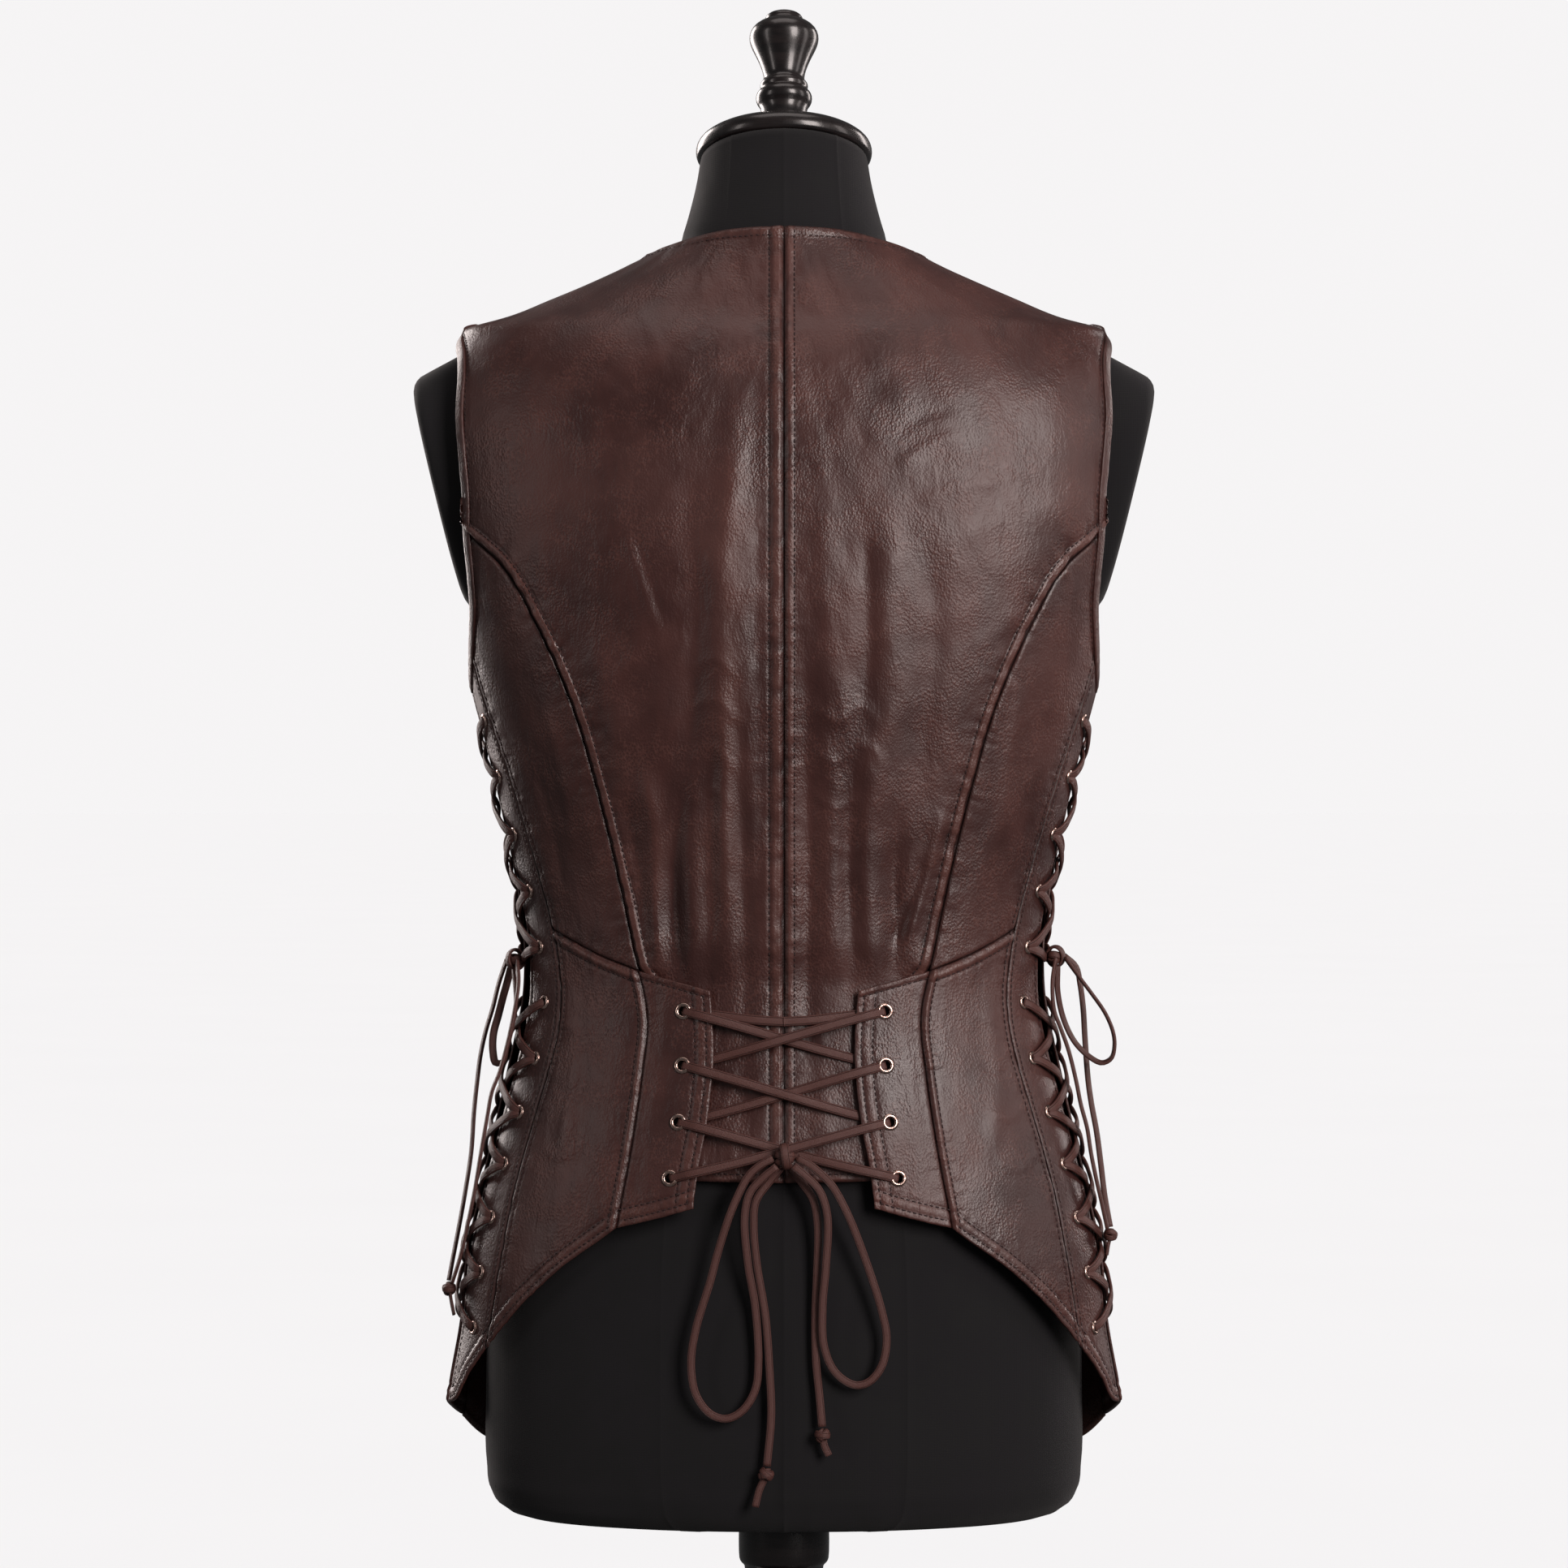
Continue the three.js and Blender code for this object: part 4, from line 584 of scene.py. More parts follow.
class Board:
    """One material's node board."""

    def __init__(self, name, roughness=0.5, metallic=0.0, specular=0.5):
        self.material = bpy.data.materials.new(name)
        self.material.use_nodes = True
        self.tree = self.material.node_tree
        self.shader = self.tree.nodes["Principled BSDF"]
        self.plain("Roughness", roughness)
        self.plain("Metallic", metallic)
        self.plain("Specular IOR Level", specular)

    def plain(self, socket, value):
        self.shader.inputs[socket].default_value = value

    def node(self, kind, settings=None, inputs=None, output=0):
        made = self.tree.nodes.new(kind)
        for key, value in (settings or {}).items():
            setattr(made, key, value)
        for key, value in (inputs or {}).items():
            if isinstance(value, Value):
                self.tree.links.new(value.socket, made.inputs[key])
            else:
                made.inputs[key].default_value = value
        return Value(self, made.outputs[output])

    def place(self, stretch=(1, 1, 1), lean=(0, 0, 0)):
        where = self.node("ShaderNodeTexCoord", output="Object")
        return self.node("ShaderNodeMapping", {}, {"Vector": where, "Scale": stretch, "Rotation": lean})

    def noise(self, where, scale, detail=3.0, rough=0.55, twist=0.0):
        return self.node("ShaderNodeTexNoise", {}, {
            "Vector": where, "Scale": scale, "Detail": detail, "Roughness": rough, "Distortion": twist,
        })

    def cells(self, where, scale):
        return self.node("ShaderNodeTexVoronoi", {}, {"Vector": where, "Scale": scale}, output="Distance")

    def span(self, value, low, high, to_low=0.0, to_high=1.0):
        return self.node("ShaderNodeMapRange", {"interpolation_type": "SMOOTHSTEP"}, {
            "Value": value, "From Min": low, "From Max": high, "To Min": to_low, "To Max": to_high,
        })

    def blend(self, share, first, second):
        """Colour mix; a share of 0 gives the first."""
        return self.node("ShaderNodeMix", {"data_type": "RGBA"}, {0: share, 6: first, 7: second}, output=2)

    def attribute(self, name):
        return self.node("ShaderNodeAttribute", {"attribute_name": name}, output="Fac")

    def bump(self, height, distance, strength=1.0, under=None):
        inputs = {"Height": height, "Distance": distance, "Strength": strength}
        if under is not None:
            inputs["Normal"] = under
        return self.node("ShaderNodeBump", {}, inputs)

    def finish(self, **sockets):
        for key, value in sockets.items():
            self.tree.links.new(value.socket, self.shader.inputs[key.replace("_", " ")])
        return self.material


def rgb(*values):
    """A colour given as screen values from 0 to 255."""
    linear = [((v / 255 + 0.055) / 1.055) ** 2.4 if v > 10 else v / 255 / 12.92 for v in values]
    return (*linear, 1.0)


def leather_finish(dark, mid, light):
    """Pebbled leather: fine cells in patches, soft drawn creases two ways,
    cloudy colour, and from the point attribute for wear and painted light:
    raised folds and seam bands paler, part wear and part painted highlight,
    and painted shade darkening the seam grooves and fold hollows."""
    b = Board("vest leather", roughness=0.42, specular=0.44)
    where = b.place()
    cloud = b.noise(where, 11.0, 4.0, 0.6)
    streak = b.noise(b.place((1, 1, 0.28)), 30.0, 3.0, 0.6, 0.6)
    pebble = b.cells(b.place((1, 1, 0.8)), 700.0)
    fine = b.noise(where, 1900.0, 2.0, 0.6)
    patchy = b.span(b.noise(where, 48.0, 2.0), 0.35, 0.65, 0.4, 1.0)
    rising = b.noise(b.place((1.0, 1.0, 0.42), (0.0, 0.6, 0.0)), 105.0, 2.0, 0.5, 0.8)
    falling = b.noise(b.place((1.0, 1.0, 0.42), (0.0, -0.7, 0.0)), 135.0, 2.0, 0.5, 0.8)
    zone = b.span(b.noise(where, 17.0, 2.0), 0.42, 0.62)
    drawn = rising * (1 - zone) + falling * zone
    # Point value for wear and painted light: above 0.5 on raised relief, below it in grooves and hollows.
    rub = b.attribute("rub")
    colour = b.blend(b.span(cloud * 0.6 + streak * 0.4, 0.34, 0.66), dark, mid)
    colour = b.blend(b.span(pebble * patchy, 0.35, 0.8, 0.0, 0.25), colour, light)
    # Paler where the value is high: part wear, part painted highlight on raised folds and seam bands.
    colour = b.blend(b.span(rub, 0.5, 0.95, 0.0, 0.4), colour, light)
    # Painted shade: near black-brown where the value is low, in seam grooves, stitch rows and fold hollows.
    colour = b.blend(b.span(rub, 0.42, 0.1, 0.0, 0.75), colour, rgb(20, 11, 11))
    soft = b.bump(drawn * b.span(b.noise(where, 9.0, 1.0), 0.4, 0.6, 0.4, 1.0), 0.0013, 0.55)
    return b.finish(
        Base_Color=colour,
        Roughness=b.span(cloud, 0.3, 0.7, 0.32, 0.44) + fine * 0.06,
        Normal=b.bump(pebble * patchy * 0.7 + fine * 0.2, 0.00042, 0.85, soft),
    )


def lace_finish():
    """Flat leather lace: long grain along it and two fine pressed edge lines."""
    b = Board("lace leather", roughness=0.5, specular=0.4)
    uv = b.node("ShaderNodeUVMap", {"uv_map": "lay"})
    across = b.node("ShaderNodeSeparateXYZ", {}, {0: uv}, output=1)
    grain = b.noise(b.node("ShaderNodeMapping", {}, {"Vector": uv, "Scale": (60.0, 6.0, 1.0)}), 6.0, 4.0, 0.6)
    pores = b.noise(b.place(), 1400.0, 2.0)
    edge = b.node("ShaderNodeMath", {"operation": "ABSOLUTE"}, {0: across - 0.5})
    groove = b.span(edge, 0.30, 0.34) * (1 - b.span(edge, 0.34, 0.39))
    colour = b.blend(b.span(grain, 0.3, 0.7), rgb(54, 29, 26), rgb(88, 53, 47))
    colour = b.blend(groove * 0.75, colour, rgb(22, 12, 11))
    return b.finish(
        Base_Color=colour,
        Roughness=b.span(grain, 0.3, 0.7, 0.42, 0.6),
        Normal=b.bump(grain * 0.5 + pores * 0.5 - groove * 1.4, 0.0005, 0.8),
    )


def copper_finish():
    b = Board("antique copper", roughness=0.34, metallic=1.0)
    where = b.place()
    stain = b.span(b.noise(where, 420.0, 4.0, 0.6), 0.4, 0.7)
    colour = b.blend(stain, rgb(198, 172, 162), rgb(112, 90, 82))
    return b.finish(
        Base_Color=colour,
        Roughness=b.span(stain, 0.0, 1.0, 0.2, 0.42),
        Normal=b.bump(b.noise(where, 1500.0, 2.0), 0.0001, 0.5),
    )


def thread_finish():
    b = Board("stitching thread", roughness=0.7, specular=0.3)
    twist = b.noise(b.place(), 2600.0, 1.0)
    return b.finish(
        Base_Color=b.blend(b.span(twist, 0.35, 0.65), rgb(26, 14, 14), rgb(52, 32, 31)),
        Normal=b.bump(twist, 0.0002, 0.6),
    )


def cloth_finish():
    """Matt black cover: a fine even weave, faint nap in clouds."""
    b = Board("black cover cloth", roughness=0.92, specular=0.25)
    b.plain("Sheen Weight", 0.05)
    b.plain("Sheen Roughness", 0.6)
    where = b.place()
    threads = {"Vector": where, "Scale": 330.0, "Distortion": 0.6, "Detail": 1.0}
    warp = b.node("ShaderNodeTexWave", {"bands_direction": "X"}, threads)
    weft = b.node("ShaderNodeTexWave", {"bands_direction": "Z"}, threads)
    nap = b.noise(where, 26.0, 4.0, 0.6)
    colour = b.blend(b.span(nap, 0.3, 0.7), rgb(11, 11, 13), rgb(18, 17, 20))
    return b.finish(
        Base_Color=colour,
        Roughness=b.span(nap, 0.3, 0.7, 0.86, 0.97),
        Normal=b.bump(warp * 0.5 + weft * 0.5 + b.noise(where, 900.0, 2.0) * 0.6, 0.00012, 0.5),
    )


def lacquer_finish():
    """Black lacquer on turned wood: glossy, with faint rings and dust."""
    b = Board("black lacquer", roughness=0.24, specular=0.4)
    b.plain("Coat Weight", 0.25)
    b.plain("Coat Roughness", 0.12)
    where = b.place()
    wood = b.noise(b.place((1, 1, 9)), 26.0, 3.0)
    dust = b.noise(where, 240.0, 4.0, 0.65)
    return b.finish(
        Base_Color=b.blend(b.span(wood, 0.35, 0.65), rgb(17, 14, 15), rgb(30, 25, 25)),
        Roughness=b.span(dust, 0.3, 0.7, 0.25, 0.32),
        Normal=b.bump(wood * 0.6 + dust * 0.4, 0.00012, 0.2),
    )


def floor_finish():
    b = Board("pale floor", roughness=0.9, specular=0.0)
    pale = b.blend(b.noise(b.place(), 1.5), (0.9, 0.885, 0.89, 1), (0.92, 0.905, 0.91, 1))
    return b.finish(Base_Color=pale)


VEST_LEATHER = leather_finish(rgb(47, 25, 23), rgb(67, 38, 34), rgb(98, 63, 56))
LACE = lace_finish()
COPPER = copper_finish()
THREAD = thread_finish()
COVER = cloth_finish()
LACQUER = lacquer_finish()

# ---- laces ----------------------------------------------------------------


def ribbon(path, facing, wide=LACE_WIDE, thick=LACE_THICK, sides=12):
    """A flat lace: a rounded oblong |x/a|^3 + |y/b|^3 = 1 carried along a path,
    its flat side turned to `facing`. Gives points, faces and (across, along)."""
    tangent = unit(np.gradient(path, axis=0))
    across = unit(np.cross(tangent, facing))
    normal = unit(np.cross(across, tangent))
    turn = (np.arange(sides) + 0.5) * 2 * np.pi / sides
    c, s = np.cos(turn), np.sin(turn)
    x = np.sign(c) * np.abs(c) ** 0.67 * wide / 2
    y = np.sign(s) * np.abs(s) ** 0.67 * thick / 2
    points = path[:, None] + across[:, None] * x[None, :, None] + normal[:, None] * y[None, :, None]
    run = np.concatenate([[0], np.cumsum(np.linalg.norm(np.diff(path, axis=0), axis=1))])
    uv = np.stack(np.broadcast_arrays(run[:, None] * 0.01, x[None] / wide + 0.5), -1).reshape(-1, 2)
    points, faces = points.reshape(-1, 3), grid_faces(len(path), sides, wrap=True)[:, ::-1]
    first = np.arange(sides)
    for loop in (first, (len(points) - sides + first)[::-1]):
        strip = [[loop[k], loop[k + 1], loop[-k - 2], loop[-k - 1]] for k in range(sides // 2 - 1)]
        faces = np.vstack([faces, strip])
    return points, faces, uv


def carried_normals(path, start):
    """Facing carried along a path without twist: each step drops the part of
    the last normal that lies along the new tangent."""
    tangent = unit(np.gradient(path, axis=0))
    out = [np.asarray(start, float)]
    for t in tangent[1:]:
        n = out[-1] - t * (out[-1] @ t)
        out.append(n / np.linalg.norm(n))
    return np.array(out)


def lace_object(name, ribbons):
    """Several ribbons as one piece."""
    points, faces = merge([(p, f) for p, f, _ in ribbons])
    return mesh_object(name, points, faces, LACE, uv=np.vstack([lay for _, _, lay in ribbons]))


def wrap(centre, axis, facing, reach, count, wide, thick, start, drift=0.0, turns=1.0):
    """A lace wound round an ellipse about `axis`: reach is (along facing, the
    other way); drift moves it along the axis as it winds."""
    axis, facing = unit(np.asarray(axis, float)), np.asarray(facing, float)
    facing = unit(facing - axis * (facing @ axis))
    other = np.cross(axis, facing)
    a = start + np.linspace(0, 2 * np.pi * turns, count)
    path = (
        np.asarray(centre, float)
        + facing * (reach[0] * np.cos(a))[:, None]
        + other * (reach[1] * np.sin(a))[:, None]
        + axis * (drift * (a - start) / (2 * np.pi))[:, None]
    )
    out = unit(path - np.asarray(centre, float) - axis * ((path - centre) @ axis)[:, None])
    return ribbon(path, out, wide, thick)


def bow_knot(name, centre, out, up, size):
    """The drawn-up knot of a bow: one upright wrap over two crossing turns."""
    out, up = unit(np.asarray(out, float)), unit(np.asarray(up, float))
    side = np.cross(up, out)
    c = np.asarray(centre, float)
    deep, tall = size
    parts = [
        wrap(c, side + 0.12 * up, out, (deep, tall), 34, 5.6, 2.1, 2.6, drift=0.8, turns=1.08),
        wrap(c - out * 0.4, up + 0.35 * side, out, (deep - 1.6, tall - 2.2), 28, 5.0, 2.1, 2.0),
        wrap(c - out * 0.6 - up * 1.4, up - 0.55 * side, out, (deep - 2.0, tall - 1.6), 28, 4.4, 2.1, 2.0),
    ]
    return lace_object(name, parts)


def end_knot(name, centre, end, out):
    """A single overhand knot: two slanting turns, a core and a short cut end."""
    c, e, out = (np.asarray(v, float) for v in (centre, end, out))
    down = unit(e - c)
    side = unit(np.cross(down, out))
    core = np.stack([c - down * 3.6 + side * 0.4, c - side * 0.5, c + down * 3.2 + side * 0.5])
    core = spaced(catmull(core), 10)
    tip = spaced(catmull(np.stack([c + down * 1.5, c + (e - c) * 0.5 + side * 0.9, e])), 14)
    parts = [
        wrap(c, down + 0.45 * side, out, (3.6, 4.0), 26, 4.2, 1.9, 2.4),
        wrap(c + down * 0.6, down - 0.6 * side, out, (3.3, 4.2), 26, 3.8, 1.9, 0.8),
        ribbon(core, np.tile(out, (len(core), 1)), 4.0, 3.0),
        ribbon(tip, np.tile(out, (len(tip), 1)), 4.6, 2.0),
    ]
    return lace_object(name, parts)


OUTWARD = {"back": (0, 1, 0), "left": (1, 0.25, 0), "right": (-1, 0.25, 0)}


def facing_of(name):
    return OUTWARD["back" if name.startswith("back") else name.rsplit("_", 1)[1]]


END_KNOTS = {
    "back_end_left": ((11, 112, 312.5), (18, 112, 292)),
    "back_end_right": ((-24, 112, 337), (-28, 112, 324)),
    "side_end_left": ((214.9, 25, 419.5), (211.5, 29, 403)),
    "side_end_right": ((-209.5, 26, 454), (-207, 28, 441)),
}
BOWS = {
    "back_knot": ((-0.5, 118, 511), (0, 1, 0), (5.6, 7.4)),
    "side_knot_left": ((173, 16, 630), (1, 0.5, 0), (5.4, 6.4)),
    "side_knot_right": ((-174.6, 15.5, 632), (-1, 0.5, 0), (5.4, 6.4)),
}

for name, (centre, out, size) in BOWS.items():
    piece(bow_knot(name + "_wrap", centre, out, (0, 0, 1), size), "lace", name)
ends = {
    name: piece(end_knot(name + "_knot", centre, end, facing_of(name)), "lace", name)
    for name, (centre, end) in END_KNOTS.items()
}

for name, rows in ROUTES.items():
    rows = np.array(rows, float)
    length = np.linalg.norm(np.diff(catmull(rows), axis=0), axis=1).sum()
    path = spaced(catmull(rows), round(length / 2.2))
    facing = carried_normals(path, facing_of(name))
    obj = piece(lace_object(name + "_lace", [ribbon(path, facing, FREE_WIDE, FREE_THICK)]), "lace", name)
    tail = "tail" in name
    side = name.rsplit("_", 1)[1]
    knot = ("back_end_" if name.startswith("back") else "side_end_") + side
    carries = [ends[knot]] if tail and "inner" not in name else []

OVER, UNDER = TAB_LIFT + 1.1 + 0.3 + LACE_THICK / 2, TAB_LIFT - LEATHER - 0.3 - LACE_THICK / 2
BAR_LIFT = -0.7
CROSS_LOW, CROSS_HIGH = -0.9, 2.1


def held(stations, step=1.6):
    """A held lace through stations of (turn, height, lift)."""
    rows = np.array(stations, float)
    points = on_vest(rows[:, 0], rows[:, 1], rows[:, 2])
    normal = ring_normal(VEST, rows[:, 0], rows[:, 1])
    both = catmull(np.hstack([points, normal * 10]), 12)
    length = np.linalg.norm(np.diff(both[:, :3], axis=0), axis=1).sum()
    both = spaced(both, max(6, round(length / step)))
    return ribbon(both[:, :3], unit(both[:, 3:]))


def crossing(start, end, height, hold):
    """From a tab's eyelet over the gap; the end goes under the other tab and
    up its eyelet, or stays above and dips into it."""
    at = lambda s: (start[0] + (end[0] - start[0]) * s, start[1] + (end[1] - start[1]) * s)
    far = OVER if hold else UNDER
    rows = [
        (*at(0.0), 0.0), (*at(0.035), 1.6), (*at(0.075), OVER - 0.3), (*at(0.16), OVER - 0.4),
        (*at(0.28), (OVER + height) / 2), (*at(0.42), height), (*at(0.58), height),
        (*at(0.72), (far + height) / 2), (*at(0.84), far), (*at(0.925), far),
    ]
    rows += [(*at(0.965), 1.6), (*at(1.0), 0.0)] if hold else [(*at(0.97), far), (*at(1.0), far + 0.8)]
    return held(rows)


for side, height in (("left", CROSS_LOW), ("right", CROSS_HIGH)):
    near = BACK_EYELETS
    far = [(180 - turn, z) for turn, z in near]
    stops = [near[0], far[1], near[2], far[3]]
    parts = [
        held([(90.5, 594, BAR_LIFT), (80, 595, BAR_LIFT), (68, 597.5, UNDER + 0.4), (*near[0], UNDER + 0.3)]),
        *(crossing(stops[i], stops[i + 1], height, i == 2) for i in range(3)),
    ]
    parts = [(*sided(side, p, f), uv) for p, f, uv in parts]
    piece(lace_object(f"back_lacing_{side}", parts), "lace", f"back_lace_{side}")

SIDE_LOTS = {"upper": (SIDE_EYELETS[:5], (6.7, 3.3), 631.5), "lower": (SIDE_EYELETS[5:], None, 0)}


def side_stretches(rows, ends, end_z, behind, middle):
    """The zigzag of one side lace: each stretch leaves an eyelet, bows out over
    the gap and dips into the next one on the other band."""
    spot = lambda i: (rows[i][0 if (i % 2 == 0) == behind else 1], rows[i][2])
    parts = []
    for i in range(len(rows) - 1):
        a, b = np.array(spot(i)), np.array(spot(i + 1))
        half = [(0, -0.4), (0.05, 1.8), (0.14, 2.8), (0.3, 3.0)]
        bow = [*half, (0.5, middle), *((1 - s, lift) for s, lift in half[::-1])]
        parts.append(held([(*(a + (b - a) * s), lift) for s, lift in bow]))
    if ends:
        a = np.array(spot(len(rows) - 1))
        b = np.array((ends[0 if (len(rows) % 2 == 1) == behind else 1], end_z))
        last = [(0, -0.4), (0.2, 2.2), (0.5, 3.2), (1, 2.6)]
        parts.append(held([(*(a + (b - a) * s), lift) for s, lift in last]))
    return parts


for lot, (rows, ends_at, end_z) in SIDE_LOTS.items():
    for place, behind, middle in (("over", True, 3.6), ("under", False, 0.6)):
        for side in ("left", "right"):
            parts = side_stretches(rows, ends_at, end_z, behind, middle)
            parts = [(*sided(side, p, f), uv) for p, f, uv in parts]
            name = f"{lot}_{place}_{side}"
            piece(lace_object(f"side_lacing_{name}", parts), "lace", f"side_lace_{name}")

# ---- panels ---------------------------------------------------------------

WAIST = line("waist")
TAB_SEAM = line("tab_seam")
BAND_SEAM = chain(line("band_seam_lower"), line("band_seam_upper"))
FRONT_SEAM = chain(line("front_band_seam_lower"), line("front_band_seam_upper"))
ARM_BACK = chain(line("armhole_band"), line("armhole_side"), line("armhole_upper"))
ARM_FRONT = chain(line("armhole_front_band"), line("armhole_front"))

# Each seam or edge of a panel: line, side of travel that the panel lies on,
# groove depth, raised band, its near and far edge, pucker, stitch rows.
PANELS = {
    "back_centre": {
        "edges": (line("centre_hem"), chain(SHOULDER, line("neck_back")),
                  chain(PRINCESS, line("armhole_upper")), CB),
        "step": 2.2, "tall": 1.05, "crowd": 0.45,
        "seams": [
            (CB, 1, 1.3, 0.7, 1.6, 9.0, 0.55, {"left": [9.2], "right": [6.6]}),
            (PRINCESS, -1, 1.3, 1.15, 1.4, 9.0, 0.7, [7.6]),
            (SHOULDER, -1, 0.8, 0.4, 1.5, 5.0, 0.3, [4.0]),
            (line("neck_back"), -1, 0.0, 0.6, 0.5, 7.0, 0.35, [5.6]),
            (line("centre_hem"), 1, 0.0, 0.5, 0.5, 6.5, 0.3, [5.0]),
            (line("armhole_upper"), -1, 0.0, 0.0, 1, 5, 0.3, [8.2]),
        ],
    },
    "back_side": {
        "edges": (WAIST, line("armhole_side"), line("band_seam_upper"), line("princess")),
        "step": 1.8, "tall": 1.0, "crowd": 0.3,
        "seams": [
            (line("princess"), 1, 1.2, 0.0, 2, 5, 0.35, []),
            (WAIST, 1, 0.9, 0.0, 2, 5, 0.4, []),
            (line("band_seam_upper"), -1, 0.9, 0.5, 1.5, 5.0, 0.35, [3.8]),
            (line("armhole_side"), -1, 0.0, 0.0, 1, 5, 0.3, [8.2]),
        ],
    },
    "peplum": {
        "edges": (line("peplum_hem"), WAIST, line("band_seam_lower"), TAB_SEAM),
        "step": 2.0, "tall": 1.0, "crowd": 0.0,
        "seams": [
            (WAIST, -1, 1.0, 0.8, 1.5, 8.0, 0.45, [7.0]),
            (TAB_SEAM, 1, 1.1, 0.9, 1.5, 6.5, 0.35, [5.6]),
            (line("band_seam_lower"), -1, 0.9, 0.5, 1.5, 5.0, 0.35, [3.8]),
            (line("peplum_hem"), 1, -0.3, 0.6, 0.5, 10.5, 0.3, [3.4, 9.4]),
        ],
    },
    "lacing_tab": {
        "edges": (line("tab_hem"), line("tab_top"), TAB_SEAM, line("tab_edge")),
        "step": 1.2, "tall": 1.0, "crowd": 0.0,
        "seams": [
            (TAB_SEAM, -1, 1.0, 0.3, 1.5, 4.0, 0.25, []),
            (line("tab_edge"), 1, -0.3, 0.5, 0.5, 12.0, 0.25, [4.0, 11.0]),
            (line("tab_hem"), 1, -0.3, 0.5, 0.5, 12.0, 0.25, [4.0, 11.0]),
            (line("tab_top"), -1, -0.3, 0.4, 0.5, 5.0, 0.25, [4.0]),
        ],
    },
    "side_band_back": {
        "edges": (line("band_hem"), line("armhole_band"), line("band_edge"), BAND_SEAM),
        "step": 1.8, "tall": 1.0, "crowd": 0.0,
        "seams": [
            (BAND_SEAM, 1, 0.9, 0.3, 1, 5, 0.2, [3.2]),
            (line("band_edge"), -1, -0.2, 0.4, 0.5, 4.0, 0.2, [3.0]),
            (line("band_hem"), 1, -0.3, 0.6, 0.5, 10.5, 0.25, [3.4, 9.4]),
        ],
    },
    "side_band_front": {
        "edges": (line("front_band_hem")[::-1], line("armhole_front_band")[::-1], FRONT_SEAM,
                  line("front_band_edge")),
        "step": 2.2, "tall": 1.0, "crowd": 0.0,
        "seams": [
            (FRONT_SEAM, -1, 0.9, 0.3, 1, 5, 0.2, [3.2]),
            (line("front_band_edge"), 1, -0.2, 0.4, 0.5, 4.0, 0.2, [3.0]),
            (line("front_band_hem"), -1, -0.3, 0.6, 0.5, 10.5, 0.25, [3.4, 9.4]),
        ],
    },
    "front": {
        "edges": (line("front_hem")[::-1], chain(SHOULDER, line("neck_front"))[::-1], line("centre_front"),
                  chain(FRONT_SEAM, line("armhole_front"))),
        "step": 4.3, "tall": 1.0, "crowd": 0.4,
        "seams": [
            (line("centre_front"), -1, -0.3, 0.6, 0.5, 7.0, 0.35, [6.0]),
            (SHOULDER, 1, 0.8, 0.0, 1, 4, 0.3, []),
            (FRONT_SEAM, 1, 0.9, 0.5, 1.5, 6.0, 0.4, [4.0]),
            (line("front_hem"), -1, -0.3, 0.6, 0.5, 10.5, 0.3, [3.4, 9.4]),
            (line("neck_front"), 1, 0.0, 0.5, 0.5, 7.0, 0.35, [5.6]),
            (line("armhole_front"), 1, 0.0, 0.0, 1, 5, 0.3, [8.2]),
        ],
    },
}

# across mm, tall mm, height mm, lean: wide hollows first, then short creases
SOFT = {
    "back_centre": [(46, 170, 1.3, 0.06), (21, 70, 0.4, -0.2), (20, 18, 0.34, 0.5), (9, 16, 0.18, -0.5)],
    "back_side": [(30, 120, 1.0, 0.1), (13, 70, 0.5, 0.15), (18, 18, 0.25, 0.4)],
    "peplum": [(36, 70, 0.8, 0.1), (18, 22, 0.35, -0.3), (9, 14, 0.14, 0.4)],
    "lacing_tab": [(26, 50, 0.45, 0.1), (14, 18, 0.2, 0.3)],
    "side_band_back": [(16, 60, 0.35, 0.0)],
    "side_band_front": [(16, 60, 0.35, 0.0)],
    "front": [(60, 200, 1.6, 0.05), (24, 110, 0.8, -0.1), (30, 26, 0.4, 0.5), (10, 24, 0.2, -0.4)],
}
